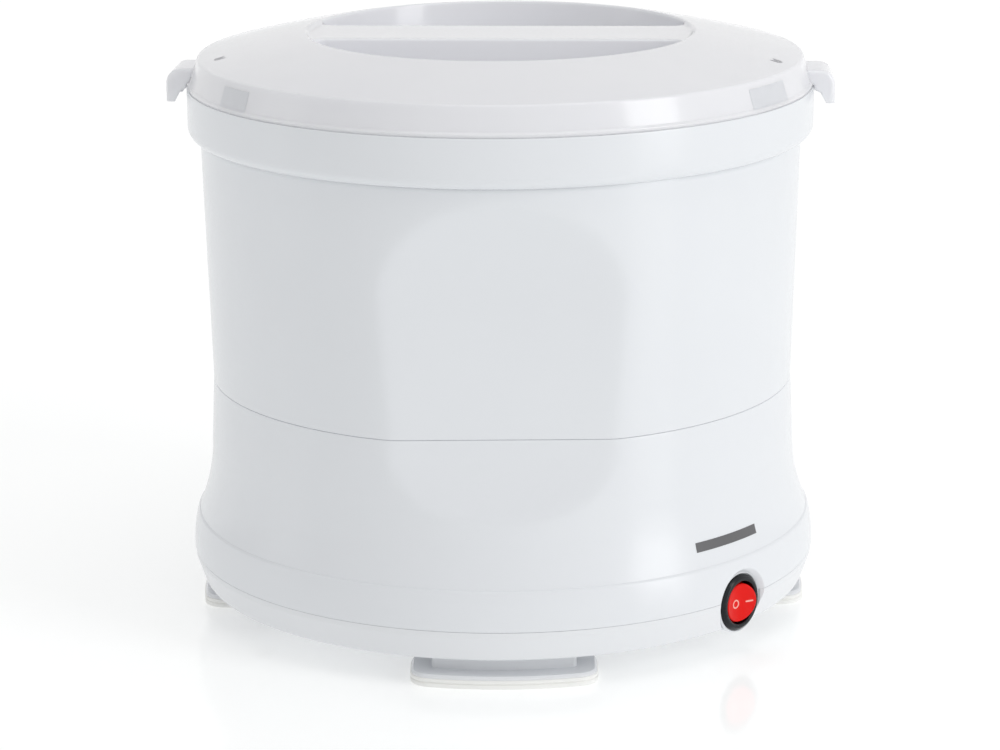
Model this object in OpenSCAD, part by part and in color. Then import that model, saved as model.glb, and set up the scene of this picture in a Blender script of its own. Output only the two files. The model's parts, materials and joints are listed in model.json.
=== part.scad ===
// Electric drum peeler: a motor base, a tub with a lift-out peeling bowl, a driven
// abrasive disc and a see-through lid. Millimetres, +Z up, the front is -Y.
// The origin is on the axis of the drum, on the plane that the feet stand on.

/* [Heights] */
// Thickness of the soft foot pads
pad_h = 3.6; // [3:0.1:8]
// Thickness of the moulded plates that the pads are stuck to
plate_h = 1.4; // [1:0.1:3]
// Height of the moulded necks between the plates and the bottom cover
neck_h = 6.5; // [5:0.5:12]
// Height of the bottom cover
cover_h = 12.8; // [11:0.1:18]
// Height of the base housing, from the bottom cover to the tub
base_h = 73.4; // [70:0.1:90]
// Height of the tub wall that shows between the base and the collar
tub_h = 95.3; // [85:0.1:130]
// Height of the collar of the bowl
collar_h = 25; // [18:0.5:34]
// Height of the skirt of the lid
skirt_h = 12; // [9:0.5:18]
// Rise of the lid from its edge to the rim of the grip recess
dome_h = 9.6; // [6:0.2:16]

/* [Radii] */
// Outer radius at the parting line of tub and base
part_r = 120.2; // [116:0.1:126]
// How much wider the tub is just below the collar than at the parting line
tub_lean = 2.8; // [1:0.1:4]
// How far the collar stands out from the tub
collar_out = 5; // [4:0.1:8]
// How far the edge of the lid, above its skirt, stands inside the collar
lid_in = 4.7; // [3:0.1:8]
// How far the flare of the base stands out at its lower end
flare_out = 7.2; // [5:0.1:9]
// How far the base stands out at its widest, at the top of the bottom cover
base_out = 9.8; // [9.3:0.1:14]
// How far the bottom cover draws in towards its lowest edge
cover_in = 3.4; // [1:0.1:6]

/* [Flare of the base] */
// Height of the upright band between the bottom cover and the flare
band_h = 16.3; // [12:0.1:22]
// Height over which the flare runs up the wall
flare_h = 29.4; // [20:0.1:34]

/* [Walls] */
// Wall of the tub and of the base housing
wall = 2.6; // [2:0.1:3.2]
// Wall of the bottom cover
cover_wall = 2.5; // [2:0.1:3.2]
// Wall of the bowl
bowl_wall = 2.5; // [2:0.1:2.8]
// Wall of the lid
lid_wall = 2.2; // [1.6:0.1:2.8]
// Clearance between pieces that lift or turn past each other
gap = 0.3; // [0.2:0.05:0.4]
// Radial clearance of a pin or shaft in its hole
fit = 0.05; // [0.03:0.01:0.08]

/* [Grip scoops] */
// Depth of each grip scoop at the parting line
scoop_depth = 8.2; // [6:0.1:9]
// How far the flat of each scoop reaches below the parting line
scoop_below = 2.7; // [0:0.1:6]
// How far the flat of each scoop reaches above the parting line
scoop_above = 52.3; // [40:0.1:62]
// Radius of the curve that runs out below the flat
scoop_low_r = 51; // [45:1:58]
// Radius of the curve that runs out above the flat
scoop_high_r = 84.5; // [70:0.5:95]

/* [Lid] */
// How far the rim of the round grip recess stands inside the edge of the lid
recess_in = 44.3; // [36:0.1:54]
// Depth of the grip recess
recess_depth = 17; // [12:0.5:20]
// Width of the grip bar across the recess
bar_w = 36.5; // [28:0.5:44]
// Turn of the whole lid to the left, seen from above, in degrees
lid_turn = -3; // [-20:1:20]
// Width of the two hook ears
ear_w = 25; // [20:1:44]
// How far the top of the ears lies below the edge of the lid
ear_drop = 5.2; // [0.4:0.1:7]
// How far the ears reach out from the collar
ear_out = 8; // [7.5:0.5:14]
// Height of the ears, from their top face to the tip of the hook
ear_h = 13.4; // [12:0.1:20]
// Depth to which the centring ring reaches into the bowl
lid_ring_depth = 6; // [3:0.5:12]
// Wall of the centring ring
lid_ring_wall = 1.8; // [1.2:0.1:2.4]

/* [Bowl and disc] */
// How far the inside of the bowl's wall stands inside the outside of the tub
bowl_in = 16.2; // [15.7:0.1:22]
// Thickness of the rim flange of the bowl
flange_t = 2.5; // [2:0.1:4]
// Height of the bowl's floor above the deck of the tub
bowl_lift = 5.4; // [4:0.2:10]
// Number of the upright ribs inside the bowl
bowl_ribs = 6; // [3:1:12]
// Radius of the upright ribs inside the bowl
rib_r = 3; // [2:0.25:3.5]
// Space between the edge of the peeling disc and the bowl's wall
disc_gap = 5; // [4:0.5:12]
// Thickness of the peeling disc
disc_t = 4; // [3:0.25:6]
// Height of the disc above the bowl's floor
disc_lift = 5.5; // [4:0.5:10]
// Number of the radial ridges on the disc
ridges = 3; // [2:1:5]
// Radius of the round of each ridge
ridge_r = 9; // [7:0.5:12]
// Height of the ridges above the face of the disc
ridge_h = 5; // [3:0.5:6]
// Thickness of the abrasive coat
coat_t = 0.8; // [0.5:0.1:1.4]
// Radius of the lifting knob of the disc
knob_r = 9; // [7:0.5:12]
// Height of the lifting knob
knob_h = 14; // [10:1:24]

/* [Drive] */
// Radius of the drive spindle
spindle_r = 4; // [3.5:0.25:4.5]
// Outer radius of the spindle's bushes
bush_r = 7; // [6.5:0.25:7.5]
// Length of each of the spindle's bushes
bush_len = 10; // [8:0.5:11]
// How far the rim of the large pulley, where the belt runs, stays from the motor shaft
pulley_apart = 22; // [21:0.5:28]
// Radius on which the belt runs on the small pulley
small_pulley_r = 8; // [6.5:0.5:10]
// How far the motor shaft stands inside the outside of the tub
motor_in = 50.2; // [48.2:0.1:52.2]
// Width of the belt
belt_w = 7; // [5:0.5:8]
// Thickness of the belt
belt_t = 1.6; // [1.2:0.1:2]
// Width across the corners of the six-sided drive coupling
hex_w = 19.6; // [17:0.2:21]

/* [Motor] */
// Length of the stator core along X
core_x = 62; // [60:1:64]
// Width of the stator core along Y
core_y = 58; // [56:1:60]
// Height inside the base that the stator core leaves to the rest of the motor and the drive
motor_room = 49.4; // [48.4:0.1:53.4]
// Radius of the armature
armature_r = 15; // [12:0.5:15.2]
// Air gap between armature and stator
air_gap = 0.6; // [0.4:0.1:0.9]
// Radius of the motor shaft
shaft_r = 3; // [2.5:0.25:3.5]
// Radius of the commutator
commutator_r = 9; // [7:0.5:10]
// Radius of the cooling fan
fan_r = 24; // [18:0.5:26]
// Number of the fan's blades
fan_blades = 9; // [5:1:14]

/* [Switch] */
// Turn of the switch from the front towards the right, in degrees
switch_az = 47.6; // [44:0.1:49]
// How far the switch's centre lies below the top of the bottom cover
switch_drop = 2.6; // [0:0.1:3]
// How far the seat of the switch lies inside the outside of the base
switch_in = 3.2; // [2.6:0.1:4]
// Radius of the switch's bezel
bezel_r = 11.5; // [11.2:0.1:12]
// Radius of the opening in the bezel
bezel_hole_r = 8.8; // [8.6:0.1:9]
// Radius of the rocker
rocker_r = 7.9; // [6.5:0.1:8]
// Tilt of the rocker to each side, in degrees
rocker_tilt = 8; // [5:0.5:8]

/* [Feet and fasteners] */
// Width of the front and the back foot pad, round the base
pad_w = 74; // [60:1:76]
// Width of the two foot pads at the sides
side_pad_w = 50; // [44:1:60]
// Depth of each foot pad, towards the axis
pad_d = 32; // [26:1:36]
// How far the outer edge of the foot pads stands inside the base
pad_in = 3.3; // [3:0.1:8]
// Corner radius of the foot pads
pad_corner = 9; // [5:0.5:12]
// How far the neck of each foot stands inside the outer edge of its pad
neck_in = 8.8; // [7:0.1:11]
// How far each end of the neck stands inside the end of its pad
neck_end = 8.5; // [6:0.5:12]
// Shank radius of the case screws
screw_r = 1.9; // [1.5:0.1:2]
// Head radius of the case screws
head_r = 3.6; // [3:0.1:4]
// Head height of the case screws
head_h = 2.4; // [1.8:0.1:3]

/* [Hidden] */
$fn = 96;
tiny = 0.01;
over = 1;

// Levels above the floor, from the bottom up.
base_z = pad_h + plate_h + neck_h;
cover_z = base_z + cover_h;
flare_z = cover_z + band_h;
part_z = cover_z + base_h;
collar_z = part_z + tub_h;
rim_z = collar_z + collar_h;
skirt_z = rim_z + gap;
edge_z = rim_z + skirt_h;
lid_z = edge_z + dome_h;

// Radii that follow from the driving ones.
tub_top_r = part_r + tub_lean;
collar_r = tub_top_r + collar_out;
lid_edge_r = collar_r - lid_in;
recess_r = lid_edge_r - recess_in;
ear_r = collar_r + ear_out;
flare_r = part_r + flare_out;
base_max_r = part_r + base_out;
base_edge_r = base_max_r - cover_in;
bowl_r = part_r - bowl_in;
disc_r = bowl_r - disc_gap;
pad_out = base_max_r - pad_in;

// Grip scoops: distance of the flat from the axis, and its ends.
scoop_d = part_r - scoop_depth;
scoop_z0 = part_z - scoop_below;
scoop_z1 = part_z + scoop_above;

// Deck of the tub, with the chimney that holds the spindle's bushes.
deck_t = 2.6;
deck_z = part_z + 6.3;
deck_top = deck_z + deck_t;
chimney_r = bush_r + 4;
chimney_low = deck_z - 4;
chimney_h = 26;
chimney_top = chimney_low + chimney_h;

// Bowl, with the tube that stands over the chimney.
bowl_z = deck_top + bowl_lift;
bowl_floor = bowl_z + bowl_wall;
bowl_fillet = 8;
tube_in = chimney_r + 2.5;
tube_out = tube_in + bowl_wall;
tube_top = chimney_top + 4;
collar_wall = 2.6;
collar_round = 5;
lip_r = tub_top_r + gap;
lip_h = 7;
rim_step = 0.4;

// Disc and its hub.
disc_z = bowl_floor + disc_lift;
disc_top = disc_z + disc_t;
ring_t = 2;
ring_z = tube_top + gap / 2;
hub_z = ring_z + ring_t + gap / 2;
hub_r = tube_out + 10;
hub_hole_r = tube_out + 2;
hub_h = 18;
hub_top = hub_z + hub_h;
knob_round = 3;
ridge_in = 34;
ridge_out = disc_r - 14;

// Spindle, its pulley and the belt.
shaft_dist = part_r - motor_in;
big_pulley_r = shaft_dist - pulley_apart;
cap_z = chimney_top + 2 * gap;
cap_t = 2.4;
cap_r = chimney_r + 1;
hex_z = hub_z - gap;
hex_h = hub_h - 3;
spindle_top = hex_z + hex_h - 2;
washer_t = 0.9;
pulley_top = chimney_low - washer_t - 2 * fit;
pulley_flange = 1.5;
pulley_w = belt_w + 2 * gap;
pulley_low = pulley_top - gap - pulley_w - 2 * pulley_flange;
flange_over = 2.5;
hub_low = pulley_low - 1.8;
clip_t = 0.8;
clip_z = hub_low - clip_t - fit;
spindle_low = clip_z - 1.6;
belt_z = pulley_low + pulley_flange + gap;
belt_angle = acos((big_pulley_r - small_pulley_r) / shaft_dist);

// Motor, hung under its bracket.
core_h = base_h - motor_room;
plate_t = 2.5;
plate_top = spindle_low - 1;
plate_z = plate_top - plate_t;
end_t = 3.5;
core_top = plate_z - end_t - 4.5;
core_z = core_top - core_h;
end_low = core_z - 15;
end_low_z = end_low - end_t;
bearing_r = 6.5;
bearing_len = 5;
commutator_z = end_low + 1;
commutator_h = 9;
armature_over = 4.5;
fan_h = 7.5;
fan_z = end_low_z - bearing_len + end_t - fan_h - gap;
shaft_low = fan_z - 1.5;
shaft_top = pulley_low + pulley_w + 2 * pulley_flange + 0.8;
bolt_x = core_x / 2 - 5;
bolt_y = core_y / 2 - 5;
bolt_r = 1.5;
leg_r = 3.4;
core_corner_r = norm([bolt_x, bolt_y]) + 4.6;
slot_x = armature_r + air_gap;
slot_w = 9;
slot_y = 10;
slot_d = 9;
coil_inset = 0.5;
brush_side = 5;
holder_wall = 0.8;
holder_in = commutator_r + 1;
holder_len = 15;
brush_len = 11;
motor_screw_y = 19;

// Posts and bosses.
post_r = 5;
post_far_out = 30;
post_far_y = 34;
post_near_in = 42;
post_near_y = 56;
post_far = [-shaft_dist - post_far_out, post_far_y];
post_near = [-shaft_dist + post_near_in, post_near_y];
posts = [post_far, [post_far[0], -post_far[1]], post_near, [post_near[0], -post_near[1]]];
screw_bite = 10;
pilot_depth = 12;
grommet_t = 2;
grommet_r = 6.5;
post_low = plate_top + grommet_t;
lug_angles = [45, 135, 225, 315];
lug_r = part_r - 13.2;
lug_z = part_z - 14;
lug_t = 4;
boss_r = 4.5;
cover_screw_angles = [27, 153, 207, 333];
cover_screw_r = base_max_r - 19;
cover_screw_bite = 14;
cover_pilot_depth = 16;
cover_boss_r = 5;
cover_boss_h = 26;
turret_r = 5.6;
turret_h = cover_h - 0.2;
turret_top = 4;
pilot_r = screw_r - 0.05;
pilot_hole_r = screw_r + 0.05;
screw_hole_r = screw_r + 0.3;

// Switch, in its own frame: +Z points out of the wall and +X to the right.
switch_z = cover_z - switch_drop;
switch_face_r = base_max_r - switch_in;
seat_r = bezel_r + 1;
seat_rise = 0.6;
seat_rim = 0.2;
seat_disc = 4;
dish_h = switch_in + 2;
well_wall = 1.5;
seat_depth = 7;
bezel_t = 2;
switch_body_r = bezel_r - 1.2;
switch_body_h = 16;
well_r = switch_body_r + gap;
well_h = switch_body_h + 2 * gap;
pivot_n = -3;
pin_r = 1.2;
pin_out = bezel_hole_r + 0.7;
rocker_top = 2.8;
rocker_low = -6;
rocker_dish_r = 22;
terminal_l = 8;

// Cord inlet at the back.
gland_az = 160;
gland_z = cover_z + 10;
gland_r = 6;
gland_bore_r = 3.4;
gland_flange_r = gland_r + 1.6;
gland_flange_t = 2.4;
gland_seat = 2.7;
gland_boss = 5;
gland_inner = 8;

// Small electrical pieces on the floor of the bottom cover.
terminal_at = [8, 62];
capacitor_at = [52, 10];
capacitor_size = [12, 27, 18];

// Vents under the fan.
vent_count = 7;
vent_step = 6.5;
vent_w = 3;
vent_l = 40;

function mix(a, b, t) = a + (b - a) * t;
function arc(x, y, r, from, to, steps) =
    [for (i = [0:steps]) [x + r * cos(mix(from, to, i / steps)), y + r * sin(mix(from, to, i / steps))]];

// Radius of the wall from the floor up: a straight cone above the flare, and a
// circular flare that is tangent to it and ends at flare_r.
flare_top_r = part_r + 1.3;
flare_rise = flare_r - flare_top_r;
flare_arc_r = (flare_h * flare_h + flare_rise * flare_rise) / (2 * flare_rise);
function wall_r(z) =
    let (top = flare_z + flare_h)
    z >= part_z ? mix(part_r, tub_top_r, (z - part_z) / tub_h) :
    z >= top ? mix(flare_top_r, part_r, (z - top) / (part_z - top)) :
    flare_top_r + flare_arc_r - sqrt(flare_arc_r * flare_arc_r - (top - z) * (top - z));

// Points up the outside of the base housing, moved in by inset. The upright band
// below the flare is nearly straight at first and then leans in.
function base_points(inset) = concat(
    [[base_max_r - inset, cover_z], [base_max_r - 0.25 - inset, cover_z + 0.3 * band_h],
     [mix(base_max_r, flare_r, 0.5) - inset, cover_z + 0.79 * band_h]],
    [for (i = [0:8]) let (z = flare_z + flare_h * i / 8) [wall_r(z) - inset, z]],
    [[part_r - inset, part_z]]);

// ---- Shared shapes ----

module ring(r_out, r_in, h) {
    difference() {
        cylinder(h = h, r = r_out);
        translate([0, 0, -over]) cylinder(h = h + 2 * over, r = r_in);
    }
}

module at_angles(angles, r) {
    for (a = angles) rotate([0, 0, a]) translate([r, 0, 0]) children();
}

// Outline of a part of a foot that lies towards +X, drawn in from the edge of
// the pad: its outer side is an arc about the axis, its inner side is straight.
function foot_half(w, r, depth, corner) =
    let (y = w / 2 - corner, turn = asin(y / (r - corner)), far = (r - corner) * cos(turn), near = r - depth + corner)
    concat([for (i = [0:8]) [r * cos(turn * i / 8), r * sin(turn * i / 8)]],
        [for (p = arc(far, y, corner, turn + (90 - turn) / 6, 90, 5)) p],
        [for (p = arc(near, y, corner, 90, 180, 6)) p]);

function mirrored(half) =
    concat(half, [for (i = [len(half) - 1:-1:1]) [half[i][0], -half[i][1]]]);

// One layer of a foot, in from the pad's edge at its outer side, ends and back.
module foot_layer(w, out, end, back, h) {
    linear_extrude(height = h) polygon(mirrored(
        foot_half(w - 2 * end, pad_out - out, pad_d - out - back, max(pad_corner - out, 2))));
}

module front_and_back() {
    for (a = [90, 270]) rotate([0, 0, a]) children();
}

module left_and_right() {
    for (a = [0, 180]) rotate([0, 0, a]) children();
}

module at_motor() {
    translate([-shaft_dist, 0, 0]) children();
}

// A screw with its head down, standing on z = 0 at the joint under its head.
module screw_up(shank, r_shank, r_head, h_head) {
    translate([0, 0, -h_head]) cylinder(h = h_head, r = r_head);
    translate([0, 0, -tiny]) cylinder(h = shank + tiny, r = r_shank);
}

// The grip scoop: a flat that runs out in a curve above and below, carried
// straight along X. grow moves it towards the axis, which leaves a wall there.
module scoop(grow) {
    length = 1.3 * part_r;
    low_end = 48;
    high_end = 32;
    low = arc(-scoop_d - scoop_low_r, scoop_z0, scoop_low_r + grow, -low_end, 0, 12);
    high = arc(-scoop_d - scoop_high_r, scoop_z1, scoop_high_r + grow, 0, high_end, 12);
    outer = -scoop_d - part_r / 3;
    for (side = [0, 180]) rotate([0, 0, side])
        translate([-length / 2, 0, 0]) rotate([90, 0, 90]) linear_extrude(height = length)
            polygon(concat(low, high, [[outer, high[12][1]], [outer, low[0][1]]]));
}

// ---- Lid ----

// Filled outline of the lid, moved in by inset.
module lid_fill(inset) {
    edge_round = 3;
    rise = dome_h;
    run = lid_edge_r - recess_r;
    dome_r = (rise * rise + run * run + 2 * recess_r * run) / (2 * rise);
    top = lid_z - inset;
    span = sqrt(dome_r * dome_r - recess_r * recess_r);
    rotate_extrude() polygon(concat(
        [[0, skirt_z - (inset > 0 ? over : 0)],
         [collar_r - 0.4 - inset, skirt_z - (inset > 0 ? over : 0)],
         [collar_r - 0.4 - inset, skirt_z + 1.6],
         [collar_r - 1 - inset, skirt_z + 2]],
        [[lid_edge_r + 0.7 - inset, edge_z - 2], [lid_edge_r - 0.3 - inset, edge_z - 0.6 - inset * 0.4],
         [lid_edge_r - 1.8 - inset, edge_z + 0.5 - inset]],
        [for (i = [2:10]) let (r = mix(lid_edge_r, recess_r, i / 10))
            [r - inset * r / dome_r, lid_z - inset + sqrt(dome_r * dome_r - r * r) - span]],
        [[0, top]]));
}

// The two halves of the grip recess, on either side of the bar. grow moves
// their walls outwards and their floor down, into the lid.
module recess(grow) {
    difference() {
        translate([0, 0, lid_z - recess_depth - grow])
            cylinder(h = recess_depth + grow + over, r1 = recess_r - 2 + grow, r2 = recess_r + grow);
        translate([-recess_r * 2, -bar_w / 2 + grow, lid_z - recess_depth - grow - over])
            cube([recess_r * 4, bar_w - 2 * grow, recess_depth + grow + 4 * over]);
    }
}

// One ear, towards +X: a top, an outer wall and two side webs, open below.
module ear() {
    round_r = 6;
    inner = collar_r + 2 * gap;
    top = edge_z - ear_drop;
    low = top - ear_h;
    difference() {
        translate([0, ear_w / 2, 0]) rotate([90, 0, 0]) linear_extrude(height = ear_w)
            polygon(concat(
                [[lid_edge_r - 4, top]],
                arc(ear_r - round_r, top - round_r, round_r, 90, 0, 6),
                [[ear_r, low], [ear_r - 3.4, low], [inner + 1.6, low + 4.6], [inner, low + 6.2],
                 [inner, skirt_z], [lid_edge_r - 4, skirt_z]]));
        translate([inner, -ear_w / 2 + lid_wall, low - over])
            cube([ear_r - lid_wall - inner, ear_w - 2 * lid_wall, ear_h + over - lid_wall]);
        translate([0, 0, skirt_z - over]) cylinder(h = skirt_h - lid_wall, r = lid_edge_r - lid_wall);
    }
}

module lid() {
    color([0.86, 0.87, 0.88, 0.8]) rotate([0, 0, lid_turn]) {
        difference() {
            union() {
                difference() {
                    lid_fill(0);
                    recess(0);
                }
                for (side = [0, 180]) rotate([0, 0, side]) ear();
            }
            difference() {
                lid_fill(lid_wall);
                recess(lid_wall);
            }
            translate([0, 0, lid_z - 0.4]) cylinder(h = over, r = 1.6);
        }
        intersection() {
            translate([0, 0, rim_z - lid_ring_depth])
                ring(bowl_r - 2 * gap, bowl_r - 2 * gap - lid_ring_wall, skirt_h + dome_h + lid_ring_depth);
            union() {
                lid_fill(lid_wall / 2);
                cylinder(h = skirt_z, r = bowl_r);
            }
        }
    }
}

// ---- Bowl ----

module bowl() {
    out_r = bowl_r + bowl_wall;
    inner_collar = collar_r - collar_wall;
    color([0.95, 0.95, 0.94]) {
        rotate_extrude() polygon(concat(
            [[bowl_r, rim_z]],
            arc(bowl_r - bowl_fillet, bowl_floor + bowl_fillet, bowl_fillet, 0, -90, 8),
            [[tube_out, bowl_floor], [tube_out, tube_top], [tube_in, tube_top], [tube_in, bowl_z]],
            arc(out_r - bowl_fillet, bowl_z + bowl_fillet, bowl_fillet, -90, 0, 8),
            [[out_r, rim_z - flange_t], [inner_collar, rim_z - flange_t],
             [inner_collar, collar_z + lip_h], [lip_r, collar_z + lip_h - 2], [lip_r, collar_z]],
            arc(collar_r - collar_round, collar_z + collar_round, collar_round, -84, 0, 8),
            [[collar_r, rim_z - 0.6], [collar_r - 0.6, rim_z]]));
        for (i = [0:bowl_ribs - 1]) rotate([0, 0, (i + 0.5) * 360 / bowl_ribs])
            translate([bowl_r - rib_r + bowl_wall - 0.1, 0, bowl_floor + 14]) {
                cylinder(h = rim_z - bowl_floor - 30, r = rib_r);
                sphere(r = rib_r);
                translate([0, 0, rim_z - bowl_floor - 30]) sphere(r = rib_r);
            }
    }
}

// ---- Disc ----

module slide_ring() {
    color([0.9, 0.88, 0.8])
        translate([0, 0, ring_z]) ring(tube_out + 1, tube_in - 1, ring_t);
}

module disc_ridges(grow) {
    for (i = [0:ridges - 1]) rotate([0, 0, i * 360 / ridges]) {
        translate([ridge_in, 0, disc_top + ridge_h - ridge_r]) rotate([0, 90, 0])
            cylinder(h = ridge_out - ridge_in, r = ridge_r + grow);
        for (x = [ridge_in, ridge_out])
            translate([x, 0, disc_top + ridge_h - ridge_r]) sphere(r = ridge_r + grow);
    }
}

module peeling_disc() {
    color([0.55, 0.56, 0.57]) difference() {
        union() {
            translate([0, 0, disc_z]) cylinder(h = disc_t, r = disc_r);
            intersection() {
                disc_ridges(0);
                translate([0, 0, disc_z]) cylinder(h = disc_t + ridge_h, r = disc_r);
            }
            translate([0, 0, disc_z]) cylinder(h = hub_top - disc_z, r1 = hub_r, r2 = hub_r - 5);
            translate([0, 0, hub_top - tiny]) rotate_extrude() polygon(concat(
                [[0, 0], [knob_r, 0]],
                arc(knob_r - knob_round, knob_h - knob_round, knob_round, 0, 90, 6),
                [[0, knob_h]]));
        }
        translate([0, 0, disc_z - over]) cylinder(h = hub_z - disc_z + over, r = hub_hole_r);
        translate([0, 0, hub_z - over])
            cylinder(h = hub_h - 3 + over + gap, r = hex_w / 2 + gap, $fn = 6);
    }
}

module abrasive_coat() {
    color([0.33, 0.33, 0.34]) difference() {
        union() {
            translate([0, 0, disc_top]) ring(disc_r - 2, hub_r + 1, coat_t);
            disc_ridges(coat_t);
        }
        disc_ridges(0);
        translate([0, 0, disc_top - 2 * ridge_r]) cylinder(h = 2 * ridge_r, r = disc_r);
    }
}

// ---- Tub ----

// Filled outline of the tub between two heights, moved in by inset.
module tub_fill(inset, low, high) {
    rotate_extrude() polygon([[0, low], [wall_r(low) - inset, low], [wall_r(high) - inset, high], [0, high]]);
}

module tub_housing() {
    rim_top = rim_z - flange_t - gap;
    lip_low = part_z - 5;
    lip_top = part_z + wall;
    color([0.95, 0.95, 0.94]) difference() {
        union() {
            difference() {
                union() {
                    tub_fill(0, part_z, collar_z);
                    translate([0, 0, collar_z - tiny])
                        cylinder(h = rim_top - collar_z + tiny, r = tub_top_r - rim_step);
                    translate([0, 0, lip_low])
                        ring(part_r - wall - gap, part_r - 2 * wall - gap, part_z - lip_low + over);
                }
                scoop(0);
                difference() {
                    union() {
                        tub_fill(wall, deck_top, collar_z);
                        translate([0, 0, collar_z - tiny])
                            cylinder(h = rim_top - collar_z + over, r = tub_top_r - rim_step - wall + 0.4);
                        tub_fill(wall, lip_top, deck_z);
                        translate([0, 0, lip_low - over])
                            cylinder(h = deck_z - lip_low + over, r = part_r - 2 * wall - gap);
                    }
                    scoop(wall);
                }
                intersection() {
                    translate([0, 0, lip_low - over]) cylinder(h = part_z - lip_low + over, r = part_r);
                    scoop(wall + gap);
                }
            }
            translate([0, 0, chimney_low]) cylinder(h = chimney_h, r = chimney_r);
            for (p = posts) translate([p[0], p[1], post_low]) cylinder(h = deck_z - post_low + tiny, r = post_r);
            at_angles(lug_angles, lug_r)
                translate([0, 0, lug_z + lug_t]) cylinder(h = deck_z - lug_z - lug_t + tiny, r = boss_r);
        }
        translate([0, 0, chimney_low - over]) cylinder(h = chimney_h + 2 * over, r = spindle_r + 1);
        translate([0, 0, chimney_low - over]) cylinder(h = bush_len + over, r = bush_r + tiny);
        translate([0, 0, chimney_top - bush_len - 4]) cylinder(h = bush_len + 4 + over, r = bush_r + tiny);
        for (p = posts) translate([p[0], p[1], post_low - over]) cylinder(h = pilot_depth + over, r = pilot_hole_r);
        at_angles(lug_angles, lug_r)
            translate([0, 0, lug_z]) cylinder(h = pilot_depth + lug_t, r = pilot_hole_r);
    }
}

// ---- Base ----

module base_fill(inset) {
    rotate_extrude() polygon(concat([[0, cover_z]], base_points(inset), [[0, part_z]]));
}

module at_switch() {
    translate([0, 0, switch_z]) rotate([90, 0, switch_az]) translate([0, 0, switch_face_r]) children();
}

module at_gland() {
    translate([0, 0, gland_z]) rotate([90, 0, gland_az]) translate([0, 0, base_max_r - gland_seat]) children();
}

// The dish that opens out from the seat of the switch to the wall round it.
module switch_dish() {
    at_switch() translate([0, 0, seat_rise])
        cylinder(h = dish_h, r1 = seat_r - seat_rim, r2 = seat_r - seat_rim + dish_h);
}

module base_housing() {
    color([0.95, 0.95, 0.94]) difference() {
        union() {
            difference() {
                base_fill(0);
                scoop(0);
                difference() {
                    union() {
                        base_fill(wall);
                        translate([0, 0, cover_z - over]) cylinder(h = over + tiny, r = base_max_r - wall);
                        translate([0, 0, part_z - tiny]) cylinder(h = over, r = part_r - wall);
                    }
                    scoop(wall);
                }
            }
            intersection() {
                at_angles(lug_angles, lug_r) translate([-8, -8, lug_z]) cube([24, 16, lug_t]);
                base_fill(wall / 2);
            }
            intersection() {
                at_angles(cover_screw_angles, cover_screw_r) {
                    translate([0, 0, cover_z]) cylinder(h = cover_boss_h, r = cover_boss_r);
                    translate([0, -1, cover_z]) cube([20, 2, cover_boss_h]);
                }
                base_fill(wall / 2);
            }
            at_switch() translate([0, 0, -seat_depth]) cylinder(h = seat_depth + seat_rise, r = seat_r);
            intersection() {
                at_switch() translate([0, 0, -wall]) cylinder(h = wall + seat_rise, r = seat_r + seat_disc);
                base_fill(0);
            }
            intersection() {
                at_gland() translate([0, 0, -gland_boss])
                    cylinder(h = gland_boss + gland_seat, r = gland_flange_r + 2);
                base_fill(wall / 2);
            }
        }
        at_angles(lug_angles, lug_r) translate([0, 0, lug_z - over]) cylinder(h = lug_t + 2 * over, r = screw_hole_r);
        at_angles(cover_screw_angles, cover_screw_r)
            translate([0, 0, cover_z - over]) cylinder(h = cover_pilot_depth + over, r = pilot_hole_r);
        switch_dish();
        at_switch() {
            cylinder(h = seat_rise + over, r = bezel_r + gap);
            translate([0, 0, -seat_depth - 8]) cylinder(h = seat_depth + 8 + over, r = switch_body_r + fit);
        }
        at_gland() {
            cylinder(h = gland_seat + over, r = gland_flange_r + gap);
            translate([0, 0, -2 * gland_inner]) cylinder(h = 2 * gland_inner + over, r = gland_r + fit);
        }
    }
}

module bottom_cover() {
    color([0.93, 0.93, 0.92]) difference() {
        union() {
            difference() {
                rotate_extrude() polygon(concat(
                    [[0, base_z]],
                    arc(base_edge_r - 2, base_z + 2, 2, -90, -15, 4),
                    [[base_max_r - 0.3, cover_z - 2], [base_max_r - 0.1, cover_z], [0, cover_z]]));
                rotate_extrude() polygon(
                    [[0, base_z + cover_wall], [base_edge_r - cover_wall - 1, base_z + cover_wall],
                     [base_max_r - cover_wall - 0.4, cover_z - 2], [base_max_r - cover_wall - 0.4, cover_z + over],
                     [0, cover_z + over]]);
            }
            at_angles(cover_screw_angles, cover_screw_r)
                translate([0, 0, base_z]) cylinder(h = turret_h, r = turret_r);
            intersection() {
                at_switch() translate([0, 0, -well_h - well_wall])
                    cylinder(h = well_h + well_wall - seat_depth - gap, r = well_r + well_wall);
                translate([0, 0, base_z - switch_body_r]) cylinder(h = switch_body_r + cover_wall, r = base_edge_r);
            }
            front_and_back() foot(pad_w);
            left_and_right() foot(side_pad_w);
        }
        at_angles(cover_screw_angles, cover_screw_r) {
            translate([0, 0, base_z - over]) cylinder(h = turret_h + 2 * over, r = screw_hole_r);
            translate([0, 0, base_z - over]) cylinder(h = turret_h - turret_top + over, r = head_r + 0.4);
        }
        at_motor() for (i = [0:vent_count - 1])
            translate([-vent_l / 2, (i - (vent_count - 1) / 2) * vent_step - vent_w / 2, base_z - over])
                cube([vent_l, vent_w, cover_wall + 2 * over]);
        switch_dish();
        at_switch() {
            translate([0, 0, -well_h]) cylinder(h = well_h, r = well_r);
            translate([0, 0, -seat_depth - gap]) cylinder(h = seat_depth + dish_h, r = seat_r + gap);
        }
    }
}

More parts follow.
